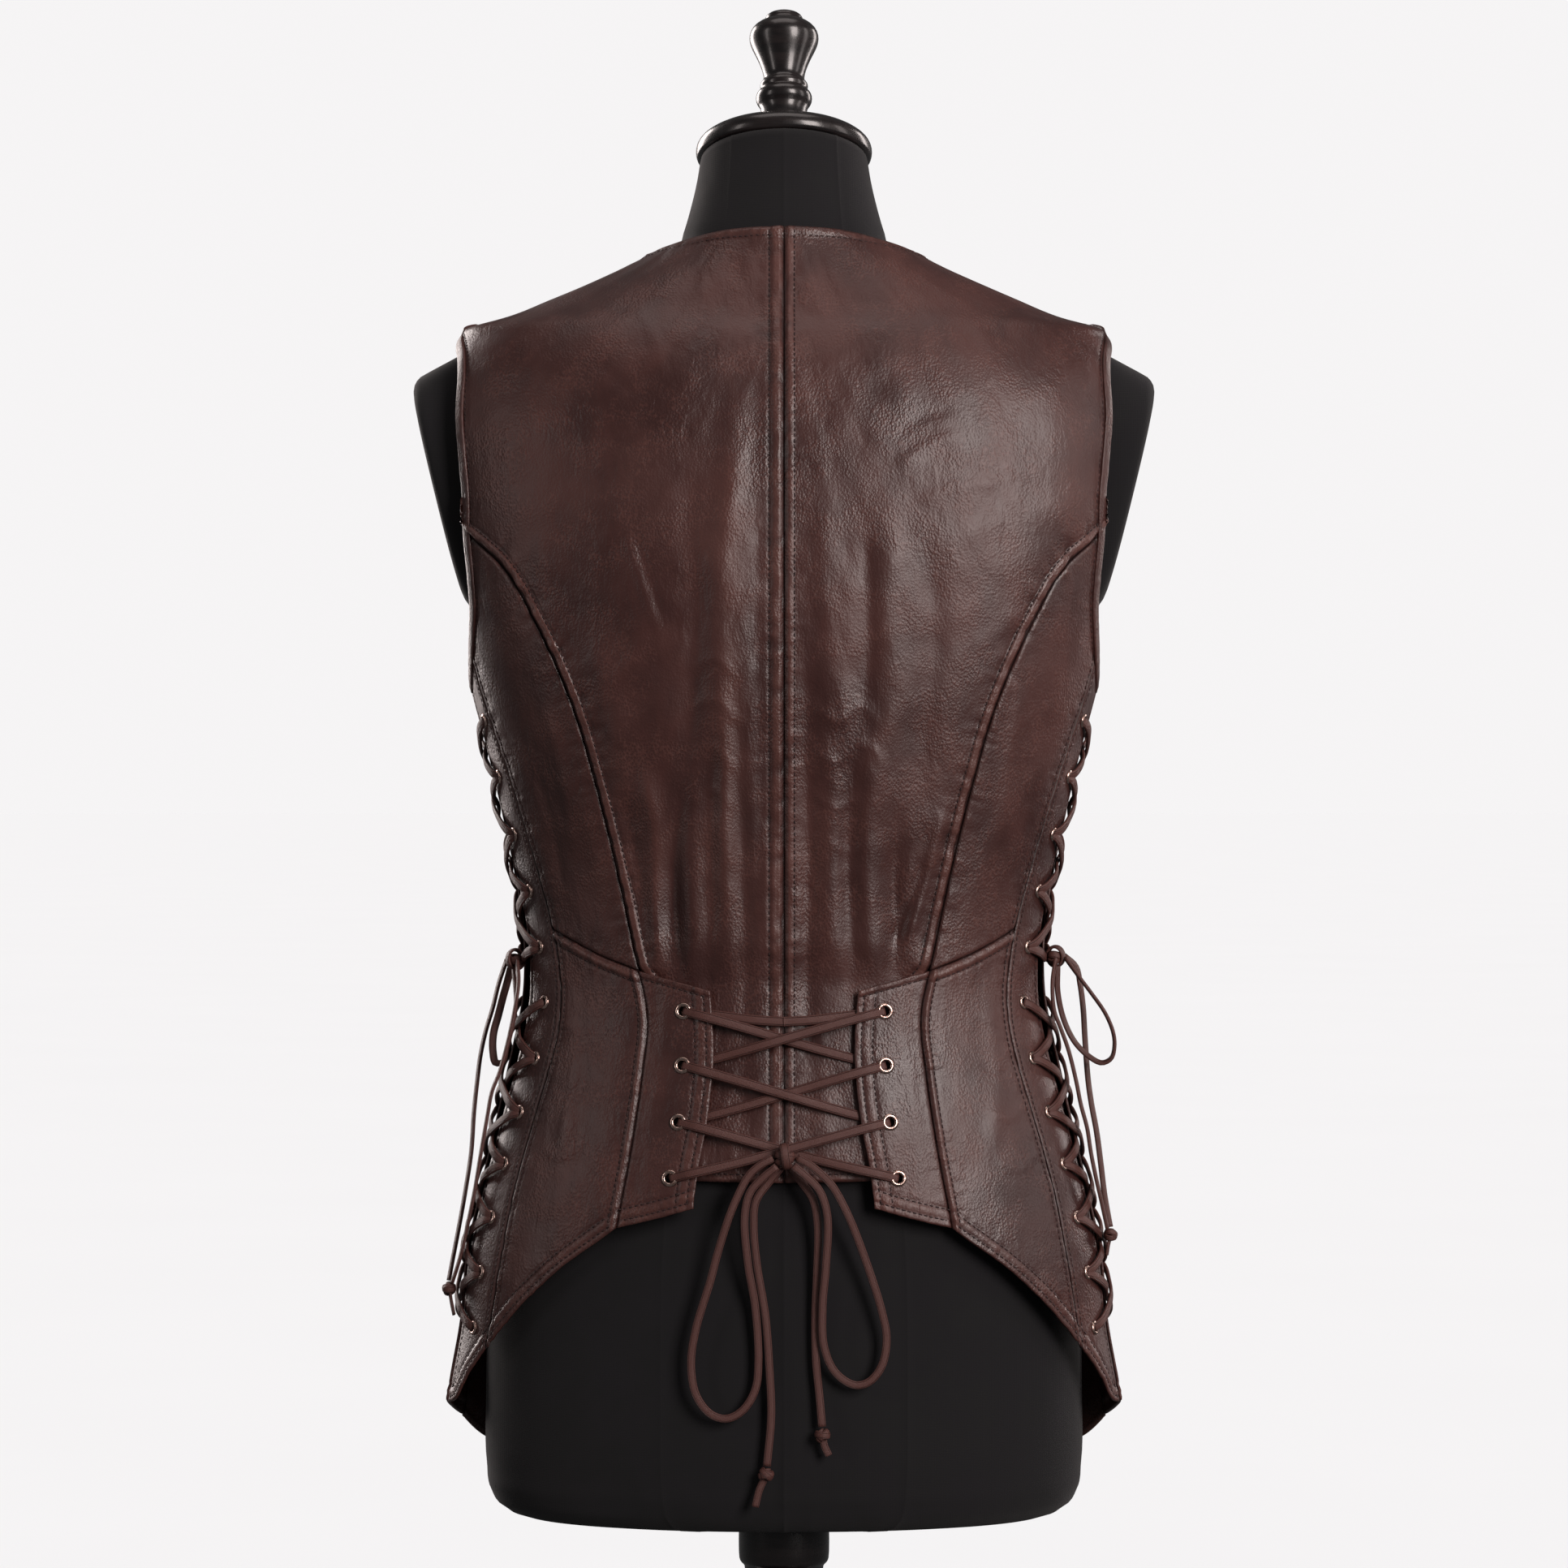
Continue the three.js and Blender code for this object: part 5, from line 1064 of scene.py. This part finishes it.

# Folds and creases, given one by one: width, height, then points (x, z); a hollow
# has a height below nothing.
CREASES = {
    ("back_centre", "left"): [
        (8.5, 1.9, (27, 1015), (32, 939), (37, 878), (34, 802), (38, 721), (41, 650), (37, 606)),
        (6.5, -1.1, (54, 954), (59, 904), (54, 863), (58, 792), (65, 721), (67, 690)),
        (5, -1.5, (62, 745), (68, 700), (67, 650), (61, 600)),
        (2.6, 0.8, (100, 906), (94, 883), (83, 853), (76, 830)),
        (2.6, -0.8, (94, 903), (86, 878), (76, 843)),
        (5, -0.6, (14, 954), (17, 853), (14, 751), (13, 650)),
        (6, 2.4, (90, 766), (80, 705), (80, 650), (74, 604)),
        (5, -1.7, (104, 745), (93, 690), (88, 616)),
        (7, 0.9, (44, 731), (55, 680), (50, 630)),
        (2.6, 0.45, (63, 810), (43, 822), (27, 807)),
        (2.6, 0.45, (66, 782), (44, 797), (25, 778)),
        (2.6, 0.4, (63, 751), (46, 767), (27, 749)),
        (2.6, 0.35, (60, 728), (44, 740), (29, 725)),
        (20, -0.9, (140, 980), (130, 893), (140, 802)),
        (4, 0.5, (112, 802), (94, 822), (83, 853)),
        (9, 1.1, (124, 842), (107, 782), (97, 721)),
        (3, -0.5, (118, 1010), (96, 990), (80, 985)),
        (3, 0.45, (96, 1052), (80, 1020), (72, 990)),
    ],
    ("back_centre", "right"): [
        (9, 1.5, (-61, 937), (-67, 893), (-65, 853), (-69, 807), (-58, 751), (-62, 700)),
        (6, 0.9, (-38, 893), (-41, 843), (-37, 802), (-43, 751)),
        (4.5, -1.0, (-51, 914), (-53, 843), (-51, 782)),
        (8, -1.3, (-89, 904), (-94, 843), (-89, 782), (-84, 721)),
        (18, 1.7, (-160, 1015), (-175, 954), (-170, 893)),
        (3.5, 0.8, (-69, 939), (-89, 954), (-114, 963)),
        (4, 0.5, (-81, 916), (-109, 929), (-140, 931)),
        (3.5, -0.5, (-66, 959), (-89, 974), (-109, 977)),
        (3, 0.6, (-15, 797), (-33, 782), (-48, 792), (-62, 776)),
        (3, 0.6, (-13, 771), (-32, 756), (-48, 769), (-66, 751)),
        (2.8, 0.5, (-14, 741), (-32, 728), (-51, 737)),
        (2.8, 0.45, (-23, 710), (-43, 700), (-58, 710)),
        (4.5, 2.2, (-103, 733), (-94, 700), (-83, 665), (-75, 637)),
        (4.2, -2.0, (-91, 700), (-81, 670), (-69, 637)),
        (4.5, -0.8, (-114, 751), (-109, 710), (-100, 670)),
        (9, 0.8, (-16, 700), (-30, 655), (-24, 610)),
        (5, -0.6, (-38, 690), (-47, 650), (-44, 622)),
        (7, 0.7, (-74, 668), (-60, 640), (-64, 610)),
        (3, 0.4, (-109, 756), (-135, 771)),
        (3, 0.4, (-114, 731), (-140, 741)),
        (3, 0.45, (-60, 1060), (-84, 1030), (-90, 1004)),
        (3.5, 0.5, (-118, 1040), (-132, 1010), (-128, 985)),
    ],
    ("back_side", "left"): [
        (5, 0.9, (150, 800), (138, 740), (132, 690)),
        (3.2, -0.6, (160, 760), (146, 712), (140, 670)),
        (3, 0.5, (128, 760), (112, 738), (104, 712)),
    ],
    ("back_side", "right"): [
        (5, 1.0, (-152, 812), (-142, 760), (-136, 700)),
        (3.2, -0.6, (-162, 750), (-150, 705), (-142, 668)),
        (3, 0.5, (-128, 748), (-110, 730), (-101, 700)),
    ],
    ("peplum", "left"): [
        (6, 0.9, (140, 620), (134, 560), (142, 500)),
        (3, 0.5, (150, 600), (132, 586), (118, 590)),
        (3, -0.5, (156, 560), (138, 548), (124, 552)),
        (3, 0.45, (160, 520), (144, 508), (128, 514)),
    ],
    ("peplum", "right"): [
        (6, 1.0, (-128, 622), (-136, 560), (-130, 500)),
        (3, 0.6, (-160, 604), (-140, 590), (-120, 600)),
        (3, -0.5, (-158, 575), (-138, 560), (-122, 568)),
        (3, 0.55, (-162, 545), (-142, 532), (-126, 538)),
        (3, 0.45, (-166, 512), (-148, 500), (-132, 508)),
    ],
    ("front", "left"): [
        (9, 1.6, (60, 960), (66, 860), (58, 760), (70, 640), (62, 520)),
        (8, -1.3, (92, 940), (98, 840), (90, 720), (100, 600), (96, 460)),
        (6, 1.1, (124, 860), (118, 760), (128, 660), (122, 540)),
        (3, 0.6, (150, 720), (126, 700), (104, 704)),
        (3, 0.6, (152, 660), (128, 644), (100, 652)),
        (3, -0.5, (150, 600), (124, 590), (100, 600)),
        (3.5, 0.7, (146, 870), (118, 888), (92, 880)),
        (5, 0.9, (34, 700), (38, 600), (30, 480)),
    ],
    ("front", "right"): [
        (9, 1.5, (-56, 970), (-64, 850), (-60, 740), (-66, 620), (-58, 500)),
        (8, -1.3, (-88, 930), (-92, 830), (-96, 700), (-90, 580), (-98, 450)),
        (6, 1.2, (-120, 870), (-126, 750), (-118, 640), (-126, 520)),
        (3, 0.6, (-152, 740), (-130, 716), (-108, 722)),
        (3, 0.6, (-150, 680), (-124, 662), (-102, 668)),
        (3, -0.5, (-152, 620), (-128, 606), (-98, 612)),
        (3.5, 0.7, (-144, 880), (-116, 900), (-90, 890)),
        (5, 0.9, (-30, 720), (-36, 610), (-32, 490)),
    ],
}


def crease_relief(points, rows):
    """Sum of height * exp(-(d / width)^2), fading out over each crease's ends,
    where d is the distance to its curve seen from the back."""
    flat = points[..., [0, 2]]
    total = np.zeros(flat.shape[:-1])
    for width, height, *spots in rows:
        curve = catmull(spots, 4)
        length = np.linalg.norm(np.diff(curve, axis=0), axis=1).sum()
        gap, along = line_distance(flat, curve)
        fade = smooth(along / (0.22 * length)) * smooth((length - along) / (0.22 * length))
        total = total + height * np.exp(-((gap / width) ** 2)) * fade
    return total


def base_lift(name, turn, z, side):
    if name == "back_centre":
        return centre_lift(turn, z, side)
    if name == "lacing_tab":
        return tab_lift(turn)
    return 0.0 * turn


def rows_of(stitches, side):
    return stitches[side] if isinstance(stitches, dict) else stitches


def relief_reader(name, side):
    """Two heights over a panel's lift: soft hollows and laid creases, which die
    out at the seams, and the relief of every seam and edge round it."""
    seed = 300 + 10 * list(PANELS).index(name) + (5 if side == "right" else 0)
    seams = [(in_space(rows), *rest) for rows, _, *rest in PANELS[name]["seams"]]
    creases = CREASES.get((name, side), [])
    hand = -1 if side == "right" else 1

    def read(turn, z):
        points = on_vest(turn, z)
        calm = np.ones_like(turn)
        relief = np.zeros_like(turn)
        for k, (seam, groove, ridge, low, high, pucker, stitches) in enumerate(seams):
            gap, along = line_distance(points, seam)
            calm = np.minimum(calm, 0.15 + 0.85 * smooth(gap / 20.0))
            relief = relief + seam_relief(gap, along, groove, ridge, low, high, seed + 31 * k, pucker)
            for row in rows_of(stitches, side):
                relief = relief - 0.45 * np.exp(-(((gap - row) / 1.2) ** 2))
        folds = wrinkle(turn, z, seed, SOFT[name]) + crease_relief(points * (hand, 1, 1), creases)
        return calm * folds, relief

    return read


HOLES = {
    "lacing_tab": ([(t, z) for t, z in BACK_EYELETS], 3.3),
    "side_band_back": ([(b, z) for b, _, z in SIDE_EYELETS], 2.9),
    "side_band_front": ([(f, z) for _, f, z in SIDE_EYELETS], 2.9),
}


def punch(grid, faces, centres, radius):
    """Leaves out faces inside each round hole and draws the nearest rim points
    onto its circle, in turn and height."""
    flat = grid.reshape(-1, 2)
    keep = np.ones(len(faces), bool)
    for turn, z in centres:
        scale = stretch(np.float64(turn), np.float64(z), (0.5, 0))
        away = (flat - (turn, z)) * (scale, 1)
        middle = away[faces].mean(1)
        gone = np.linalg.norm(middle, axis=1) < radius
        keep &= ~gone
        rim = np.unique(faces[~gone & (np.linalg.norm(middle, axis=1) < radius + 3)])
        reach = np.linalg.norm(away[rim], axis=1)
        inside = rim[reach < radius]
        flat[inside] = (turn, z) + unit(away[inside]) * radius / (scale, 1)
    return flat.reshape(grid.shape), faces[keep]


READERS = {(name, side): relief_reader(name, side) for name in PANELS for side in ("left", "right")}


def face_height(name, side, turn, z):
    return base_lift(name, turn, z, side) + sum(READERS[name, side](turn, z))


def length_of(rows):
    return np.linalg.norm(np.diff(in_space(rows), axis=0), axis=1).sum()


def flat_area(points, faces):
    """Area of a net of quads: half the cross product of each one's diagonals."""
    a, b, c, d = (points[faces[:, k]] for k in range(4))
    return np.linalg.norm(np.cross(c - a, d - b), axis=1).sum() / 2


for name, data in PANELS.items():
    bottom, top, left, right = data["edges"]
    across = round(max(length_of(bottom), length_of(top)) / data["step"])
    up = round(max(length_of(left), length_of(right)) / data["step"] / data["tall"])
    grid = patch(bottom, top, left, right, across, up, data["crowd"])
    faces = grid_faces(up + 1, across + 1)
    skin = on_vest(grid[..., 0], grid[..., 1])
    area = flat_area(skin.reshape(-1, 3), faces)
    if name in HOLES:
        grid, faces = punch(grid, faces, *HOLES[name])
    turn, z = grid[..., 0], grid[..., 1]
    for side in ("left", "right"):
        folds, relief = READERS[name, side](turn, z)
        points = on_vest(turn, z, base_lift(name, turn, z, side) + folds + relief).reshape(-1, 3)
        # Value for wear and painted light: raised seam bands and folds go paler (wear and painted highlight);
        # seam grooves, stitch rows and fold hollows go dark (painted shade).
        rub = smooth(0.5 + relief.ravel() * 0.28 + folds.ravel() * 0.06)
        used, kept = np.unique(faces, return_inverse=True)
        points, kept = sided(side, points[used], kept.reshape(faces.shape))
        obj = leather_wall(f"{name}_{side}_leather", points, kept, rub[used])
        piece(obj, "leather", f"{name}_{side}")

# ---- armhole strips -------------------------------------------------------

# how far in from the edge, height; round the edge to the inside
STRIP = [(7.2, -0.3), (7.1, 0.5), (6.6, 0.85), (4.0, 0.8), (1.6, 0.9), (0.5, 0.7), (-0.3, 0.1),
         (-0.5, -1.0), (0.0, -1.9), (1.6, -2.3), (5.8, -2.2), (6.4, -1.6)]


def eased(values, passes):
    """Each row drawn towards its neighbours, the two ends held."""
    values = values.copy()
    for _ in range(passes):
        values[1:-1] = (values[:-2] + 2 * values[1:-1] + values[2:]) / 4
    return values


def armhole_strip(side):
    back, front = resample(ARM_BACK, 150), resample(ARM_FRONT, 150)
    loop = np.vstack([back[:-1], front[::-1]])
    points = eased(in_space(loop), 2)
    tangent = unit(np.gradient(eased(points, 12), axis=0))
    out = unit(eased(ring_normal(VEST, loop[:, 0], loop[:, 1]), 12))
    inward = unit(np.cross(tangent, out))
    run = np.arange(len(points))
    uneven = 0.18 * soft_noise(run / 2.3, run * 0 + 0.5, 90)
    into, height = np.array(STRIP).T
    section = (
        points[:, None]
        + inward[:, None] * into[None, :, None]
        + out[:, None] * (height[None] + uneven[:, None])[..., None]
    )
    faces = grid_faces(len(points), len(STRIP), wrap=True)[:, ::-1]
    n, last = len(STRIP), (len(points) - 1) * len(STRIP)
    caps = [[k, k + 1, n - k - 2, n - k - 1] for k in range(n // 2 - 1)]
    caps += [[last + d for d in quad[::-1]] for quad in caps]
    section, faces = sided(side, section.reshape(-1, 3), np.vstack([faces, caps]))
    # Value for wear and painted light, rising a little on the strip's raised top.
    rub = 0.42 + 0.25 * smooth(np.tile(height, len(points)) - 0.6)
    obj = mesh_object(f"armhole_strip_{side}", section, faces, VEST_LEATHER, rub=rub)
    piece(obj, "leather", f"armhole_binding_{side}")


for side in ("left", "right"):
    armhole_strip(side)

# ---- stitching ------------------------------------------------------------

STITCH_PITCH = 3.8


def stitch_marks(points, normals, length=2.8, width=1.15, thick=0.9):
    """Short rounded threads: four-sided rings with radii 0.1, 1, 1, 0.1 of an
    ellipse, one thread for each pair of neighbouring stitch holes."""
    middle = (points[1:] + points[:-1]) / 2
    tangent = unit(points[1:] - points[:-1])
    normal = unit(normals[1:] + normals[:-1])
    across = unit(np.cross(tangent, normal))
    along = np.array([-0.5, -0.28, 0.28, 0.5]) * length
    fat = np.array([0.1, 1.0, 1.0, 0.1])
    turn = (np.arange(4) + 0.5) * np.pi / 2
    ringed = (
        middle[:, None, None]
        + tangent[:, None, None] * along[None, :, None, None]
        + across[:, None, None] * (fat[:, None] * np.cos(turn) * width / 2)[None, ..., None]
        + normal[:, None, None] * (fat[:, None] * np.sin(turn) * thick / 2)[None, ..., None]
    )
    faces = np.vstack([grid_faces(4, 4, wrap=True), [[3, 2, 1, 0], [12, 13, 14, 15]]])[:, ::-1]
    count = len(middle)
    all_faces = (faces[None] + (np.arange(count) * 16)[:, None, None]).reshape(-1, 4)
    return ringed.reshape(-1, 3), all_faces


def seated_row(rows, name, side, lift=0.1):
    """Stitch holes along a line on a panel's face, STITCH_PITCH mm apart."""
    points = on_vest(rows[:, 0], rows[:, 1], face_height(name, side, rows[:, 0], rows[:, 1]) + lift)
    length = np.linalg.norm(np.diff(points, axis=0), axis=1).sum()
    count = max(2, round(length / STITCH_PITCH))
    normal = ring_normal(VEST, rows[:, 0], rows[:, 1])
    both = spaced(np.hstack([points, normal]), count)
    return both[:, :3], unit(both[:, 3:])


for side in ("left", "right"):
    parts = []
    for name, data in PANELS.items():
        for rows, hand, *_, stitches in data["seams"]:
            for gap in rows_of(stitches, side):
                places = seated_row(offset_line(rows, hand * gap)[1:-1], name, side)
                parts.append(stitch_marks(*places))
    piece(mesh_object(f"stitching_{side}", *sided(side, *merge(parts)), THREAD), "lace")

# ---- eyelets --------------------------------------------------------------

# radius over the bore, height over the face: barrel, rolled flange, underside
EYELET = [(0.0, -2.0), (0.0, 0.5), (0.25, 0.95), (0.8, 1.2), (1.5, 1.15), (2.15, 0.8),
          (2.5, 0.35), (2.55, 0.0), (1.6, -0.1), (0.45, -0.4), (0.4, -2.0)]


def eyelet_ring(turn, z, lift, bore, sides=26):
    profile = np.array(EYELET) * (bore / 3.0, 1.0) + (bore, 0)
    points, faces = lathe(profile, sides)
    here, last = np.arange(sides), len(points) - sides
    after = (here + 1) % sides
    faces = np.vstack([faces, np.stack([last + here, last + after, after, here], -1)])[:, ::-1]
    normal = ring_normal(VEST, np.float64(turn), np.float64(z))
    up = unit(np.array([0, 0, 1.0]) - normal * normal[2])
    axes = np.stack([np.cross(up, normal), up, normal])
    return points @ axes + on_vest(np.float64(turn), np.float64(z), lift), faces


def eyelet_row(places, name, side, bore):
    places = np.array(places, float)
    lifts = face_height(name, side, places[:, 0], places[:, 1])
    return merge([eyelet_ring(turn, z, lift, bore) for (turn, z), lift in zip(places, lifts)])


for side in ("left", "right"):
    rows = {
        f"back_eyelets_{side}_rings": (BACK_EYELETS, "lacing_tab", 2.95,
                                       [f"back_eyelet_{side}_{k}" for k in range(1, 5)]),
        f"side_eyelets_back_{side}": ([(b, z) for b, _, z in SIDE_EYELETS], "side_band_back", 2.5, []),
        f"side_eyelets_front_{side}": ([(f, z) for _, f, z in SIDE_EYELETS], "side_band_front", 2.5, []),
    }
    for name, (places, panel, bore, nodes) in rows.items():
        ring_row = sided(side, *eyelet_row(places, panel, side, bore))
        piece(mesh_object(name, *ring_row, COPPER), "copper", *nodes)

# ---- the dress form -------------------------------------------------------


def form_cover():
    """The torso: every ring is a superellipse, leaned and shifted at the neck,
    with shallow seam ridges exp(-(d/1.2)^2) down its back, sides and front."""
    heights = np.unique(np.concatenate([
        np.linspace(270, 304, 14), np.linspace(304, 1000, 90), np.linspace(1000, 1147, 44)
    ]))
    seams = np.array([90, 270, 52, 128, 0, 180, 232, 308])
    beside = (seams[:, None] + (-0.6, -0.25, 0, 0.25, 0.6)) % 360
    turn = np.unique(np.concatenate([np.arange(0, 360, 2.5), beside.ravel()]))
    t, z = np.meshgrid(turn, heights)
    points = ring(FORM, t, z)
    normal = ring_normal(FORM, t, z)
    ridge = np.zeros_like(t)
    for at in seams:
        away = np.abs((t - at + 180) % 360 - 180) * np.pi / 180 * np.hypot(points[..., 0], points[..., 1])
        ridge = ridge + 0.35 * np.exp(-((away / 1.2) ** 2))
    points = points + normal * ridge[..., None]
    lean = np.tan(np.radians(FORM[5](z)))
    x, y = points[..., 0], points[..., 1]
    points = np.stack([x, y + FORM[4](z), points[..., 2] + y * lean], -1)
    points, sides, n = points.reshape(-1, 3), len(turn), points.shape[0] * len(turn)
    rim = np.arange(sides)
    faces = grid_faces(len(heights), sides, wrap=True)
    faces = np.vstack([faces, fan(n, rim, False), fan(n + 1, n - sides + rim)])
    return np.vstack([points, points[:sides].mean(0), points[-sides:].mean(0)]), faces


STUMP_ROOT, STUMP_LOW, STUMP_LEAN = 204, 856, 0.245


def stump(side):
    """The arm stump: rounded rings from inside the torso out over a soft
    corner to a nearly flat end."""
    rows = np.array(STUMP_RINGS, float)
    angle = np.arange(64) * 2 * np.pi / 64
    round_ = lambda v: np.sign(v) * np.abs(v) ** 0.85
    shift, low, high, depth = (rows[:, k, None] for k in range(4))
    y = depth * round_(np.cos(angle))
    z = (low + high) / 2 + (high - low) / 2 * round_(np.sin(angle))
    x = STUMP_ROOT + shift + STUMP_LEAN * (z - STUMP_LOW)
    points = np.stack([x, y, z], -1).reshape(-1, 3)
    rim, n = np.arange(64), len(points)
    faces = np.vstack([grid_faces(len(rows), 64, wrap=True), fan(n, rim, False), fan(n + 1, n - 64 + rim)])
    points = np.vstack([points, points[:64].mean(0), points[-64:].mean(0)])
    return sided(side, points, faces)


cover = merge([form_cover(), stump("left"), stump("right")])
piece(mesh_object("form_cover", *cover, COVER), "cloth", "form_body")

CAP = [(0, 0.4), (30, 0.4), (54, 0.4), (56.2, 1.6), (57.2, 4.4), (57.3, 7.6), (56.3, 10.6), (53.5, 13.2),
       (49, 15.6), (42, 17.6), (30, 19.2), (16, 19.8), (0, 19.9)]
FINIAL = [
    (0, 14.9), (17.6, 14.9), (17.4, 22), (15.6, 26), (14.9, 31), (15, 36), (15.8, 38.4), (17.8, 40.6),
    (18.5, 43.8), (18, 46.8), (16, 48.9), (14.7, 50), (15.5, 51.2), (15.8, 53), (15, 54.8), (13.4, 56),
    (13.2, 59), (14.2, 64), (16.2, 69.4), (18.6, 74.8), (21, 79.6), (22.6, 84), (22.8, 88), (21.2, 92),
    (17.8, 95.2), (14.2, 96.8), (12.6, 97.6), (12.2, 99), (12.4, 100.4), (11, 102.4), (7.2, 103.8),
    (0, 104.3),
]
POLE = [
    (0, 34.3), (33, 34.3), (33, 38), (32, 42), (27, 47), (25, 52), (23, 62), (22, 80), (22, 150), (23, 180),
    (24.7, 205), (24.7, 238), (26.5, 239), (28.6, 241), (29.4, 244), (29.4, 264), (28.6, 268), (27, 269.7),
    (0, 269.7),
]
FOOT = [
    (0, 0), (186, 0), (189.5, 1.5), (190, 4), (190, 8.5), (188.6, 11.6), (184, 14.6), (176, 17), (120, 24),
    (80, 27.4), (60, 29.4), (51, 31.6), (47.6, 34), (0, 34),
]
for name, profile, node, centre, tilt, sides in (
    ("neck_plate", CAP, "neck_cap", NECK_TOP, NECK_TILT, 96),
    ("turned_finial", FINIAL, "finial", NECK_TOP, NECK_TILT, 72),
    ("turned_pole", POLE, "pole", (0, 0, 0), 0, 64),
    ("round_foot", FOOT, "base", (0, 0, 0), 0, 128),
):
    points, faces = lathe(profile, sides, centre, tilt)
    obj = mesh_object(name, points, faces, LACQUER)
    soft = obj.modifiers.new("soft", "SUBSURF")
    soft.levels = soft.render_levels = 1
    piece(obj, "lacquer", node)

# ---- floor and light ------------------------------------------------------


def floor(size=120.0):
    """Pale ground, which takes light and shadow and casts none back."""
    mesh = bpy.data.meshes.new("floor")
    corners = [(-size, -size, 0), (size, -size, 0), (size, size, 0), (-size, size, 0)]
    mesh.from_pydata(corners, [], [(0, 1, 2, 3)])
    mesh.materials.append(floor_finish())
    obj = bpy.data.objects.new("floor", mesh)
    scene.collection.objects.link(obj)
    obj.visible_diffuse = obj.visible_glossy = False
    return obj


def shares(lamp, ground, state):
    """Lets a lamp reach the ground alone (INCLUDE) or all but it (EXCLUDE)."""
    group = bpy.data.collections.new(f"{lamp.name} ground")
    group.objects.link(ground)
    group.collection_objects[0].light_linking.link_state = state
    lamp.light_linking.receiver_collection = group


def soft_lamp(name, place, aim, size, power, gloss=1.0):
    """A soft rectangular lamp turned towards a point."""
    lamp = bpy.data.lights.new(name, "AREA")
    lamp.shape = "RECTANGLE"
    lamp.size, lamp.size_y = size
    lamp.energy = power
    lamp.color = (1.0, 0.9, 0.87)
    lamp.specular_factor = gloss
    obj = bpy.data.objects.new(name, lamp)
    scene.collection.objects.link(obj)
    away = np.array(place, float) - np.array(aim, float)
    obj.location = place
    across = math.hypot(away[0], away[1])
    obj.rotation_euler = (math.atan2(across, away[2]), 0, math.atan2(away[0], -away[1]))
    shares(obj, GROUND, "EXCLUDE")


def overhead(strength, spread):
    """A wide even lamp straight above, for the ground alone, which keeps the
    floor pale to its end."""
    lamp = bpy.data.lights.new("overhead", "SUN")
    lamp.energy = strength
    lamp.angle = math.radians(spread)
    obj = bpy.data.objects.new("overhead", lamp)
    scene.collection.objects.link(obj)
    shares(obj, GROUND, "INCLUDE")


def studio(seen, cast):
    """World: a near-white backdrop as seen, a dimmer room as it lights and
    reflects."""
    world = bpy.data.worlds.new("studio")
    world.use_nodes = True
    tree = world.node_tree
    back = tree.nodes["Background"]
    rays = tree.nodes.new("ShaderNodeLightPath")
    mix = tree.nodes.new("ShaderNodeMix")
    mix.data_type = "RGBA"
    mix.inputs[6].default_value = (cast, cast, cast, 1)
    mix.inputs[7].default_value = (seen, seen * 0.985, seen * 0.99, 1)
    tree.links.new(rays.outputs["Is Camera Ray"], mix.inputs[0])
    tree.links.new(mix.outputs[2], back.inputs[0])
    scene.world = world


GROUND = floor()
soft_lamp("key", (-1.8, 2.6, 1.7), (0, 0, 0.75), (1.2, 2.0), 118)
soft_lamp("side_key", (-2.6, 0.5, 1.4), (0, 0, 0.85), (0.6, 1.8), 12, 0.55)
soft_lamp("fill", (2.7, 1.6, 1.4), (0, 0, 0.75), (0.5, 1.8), 12, 0.45)
soft_lamp("top", (0, 0.3, 3.2), (0, 0, 0.9), (2.0, 1.4), 16, 0.3)
soft_lamp("front_key", (2.2, -2.3, 1.6), (0, 0, 0.75), (1.3, 2.2), 105, 0.45)
soft_lamp("front_fill", (-2.5, -1.8, 1.5), (0, 0, 0.75), (0.6, 1.8), 30, 0.3)
overhead(2.85, 70)
studio(0.92, 0.1)
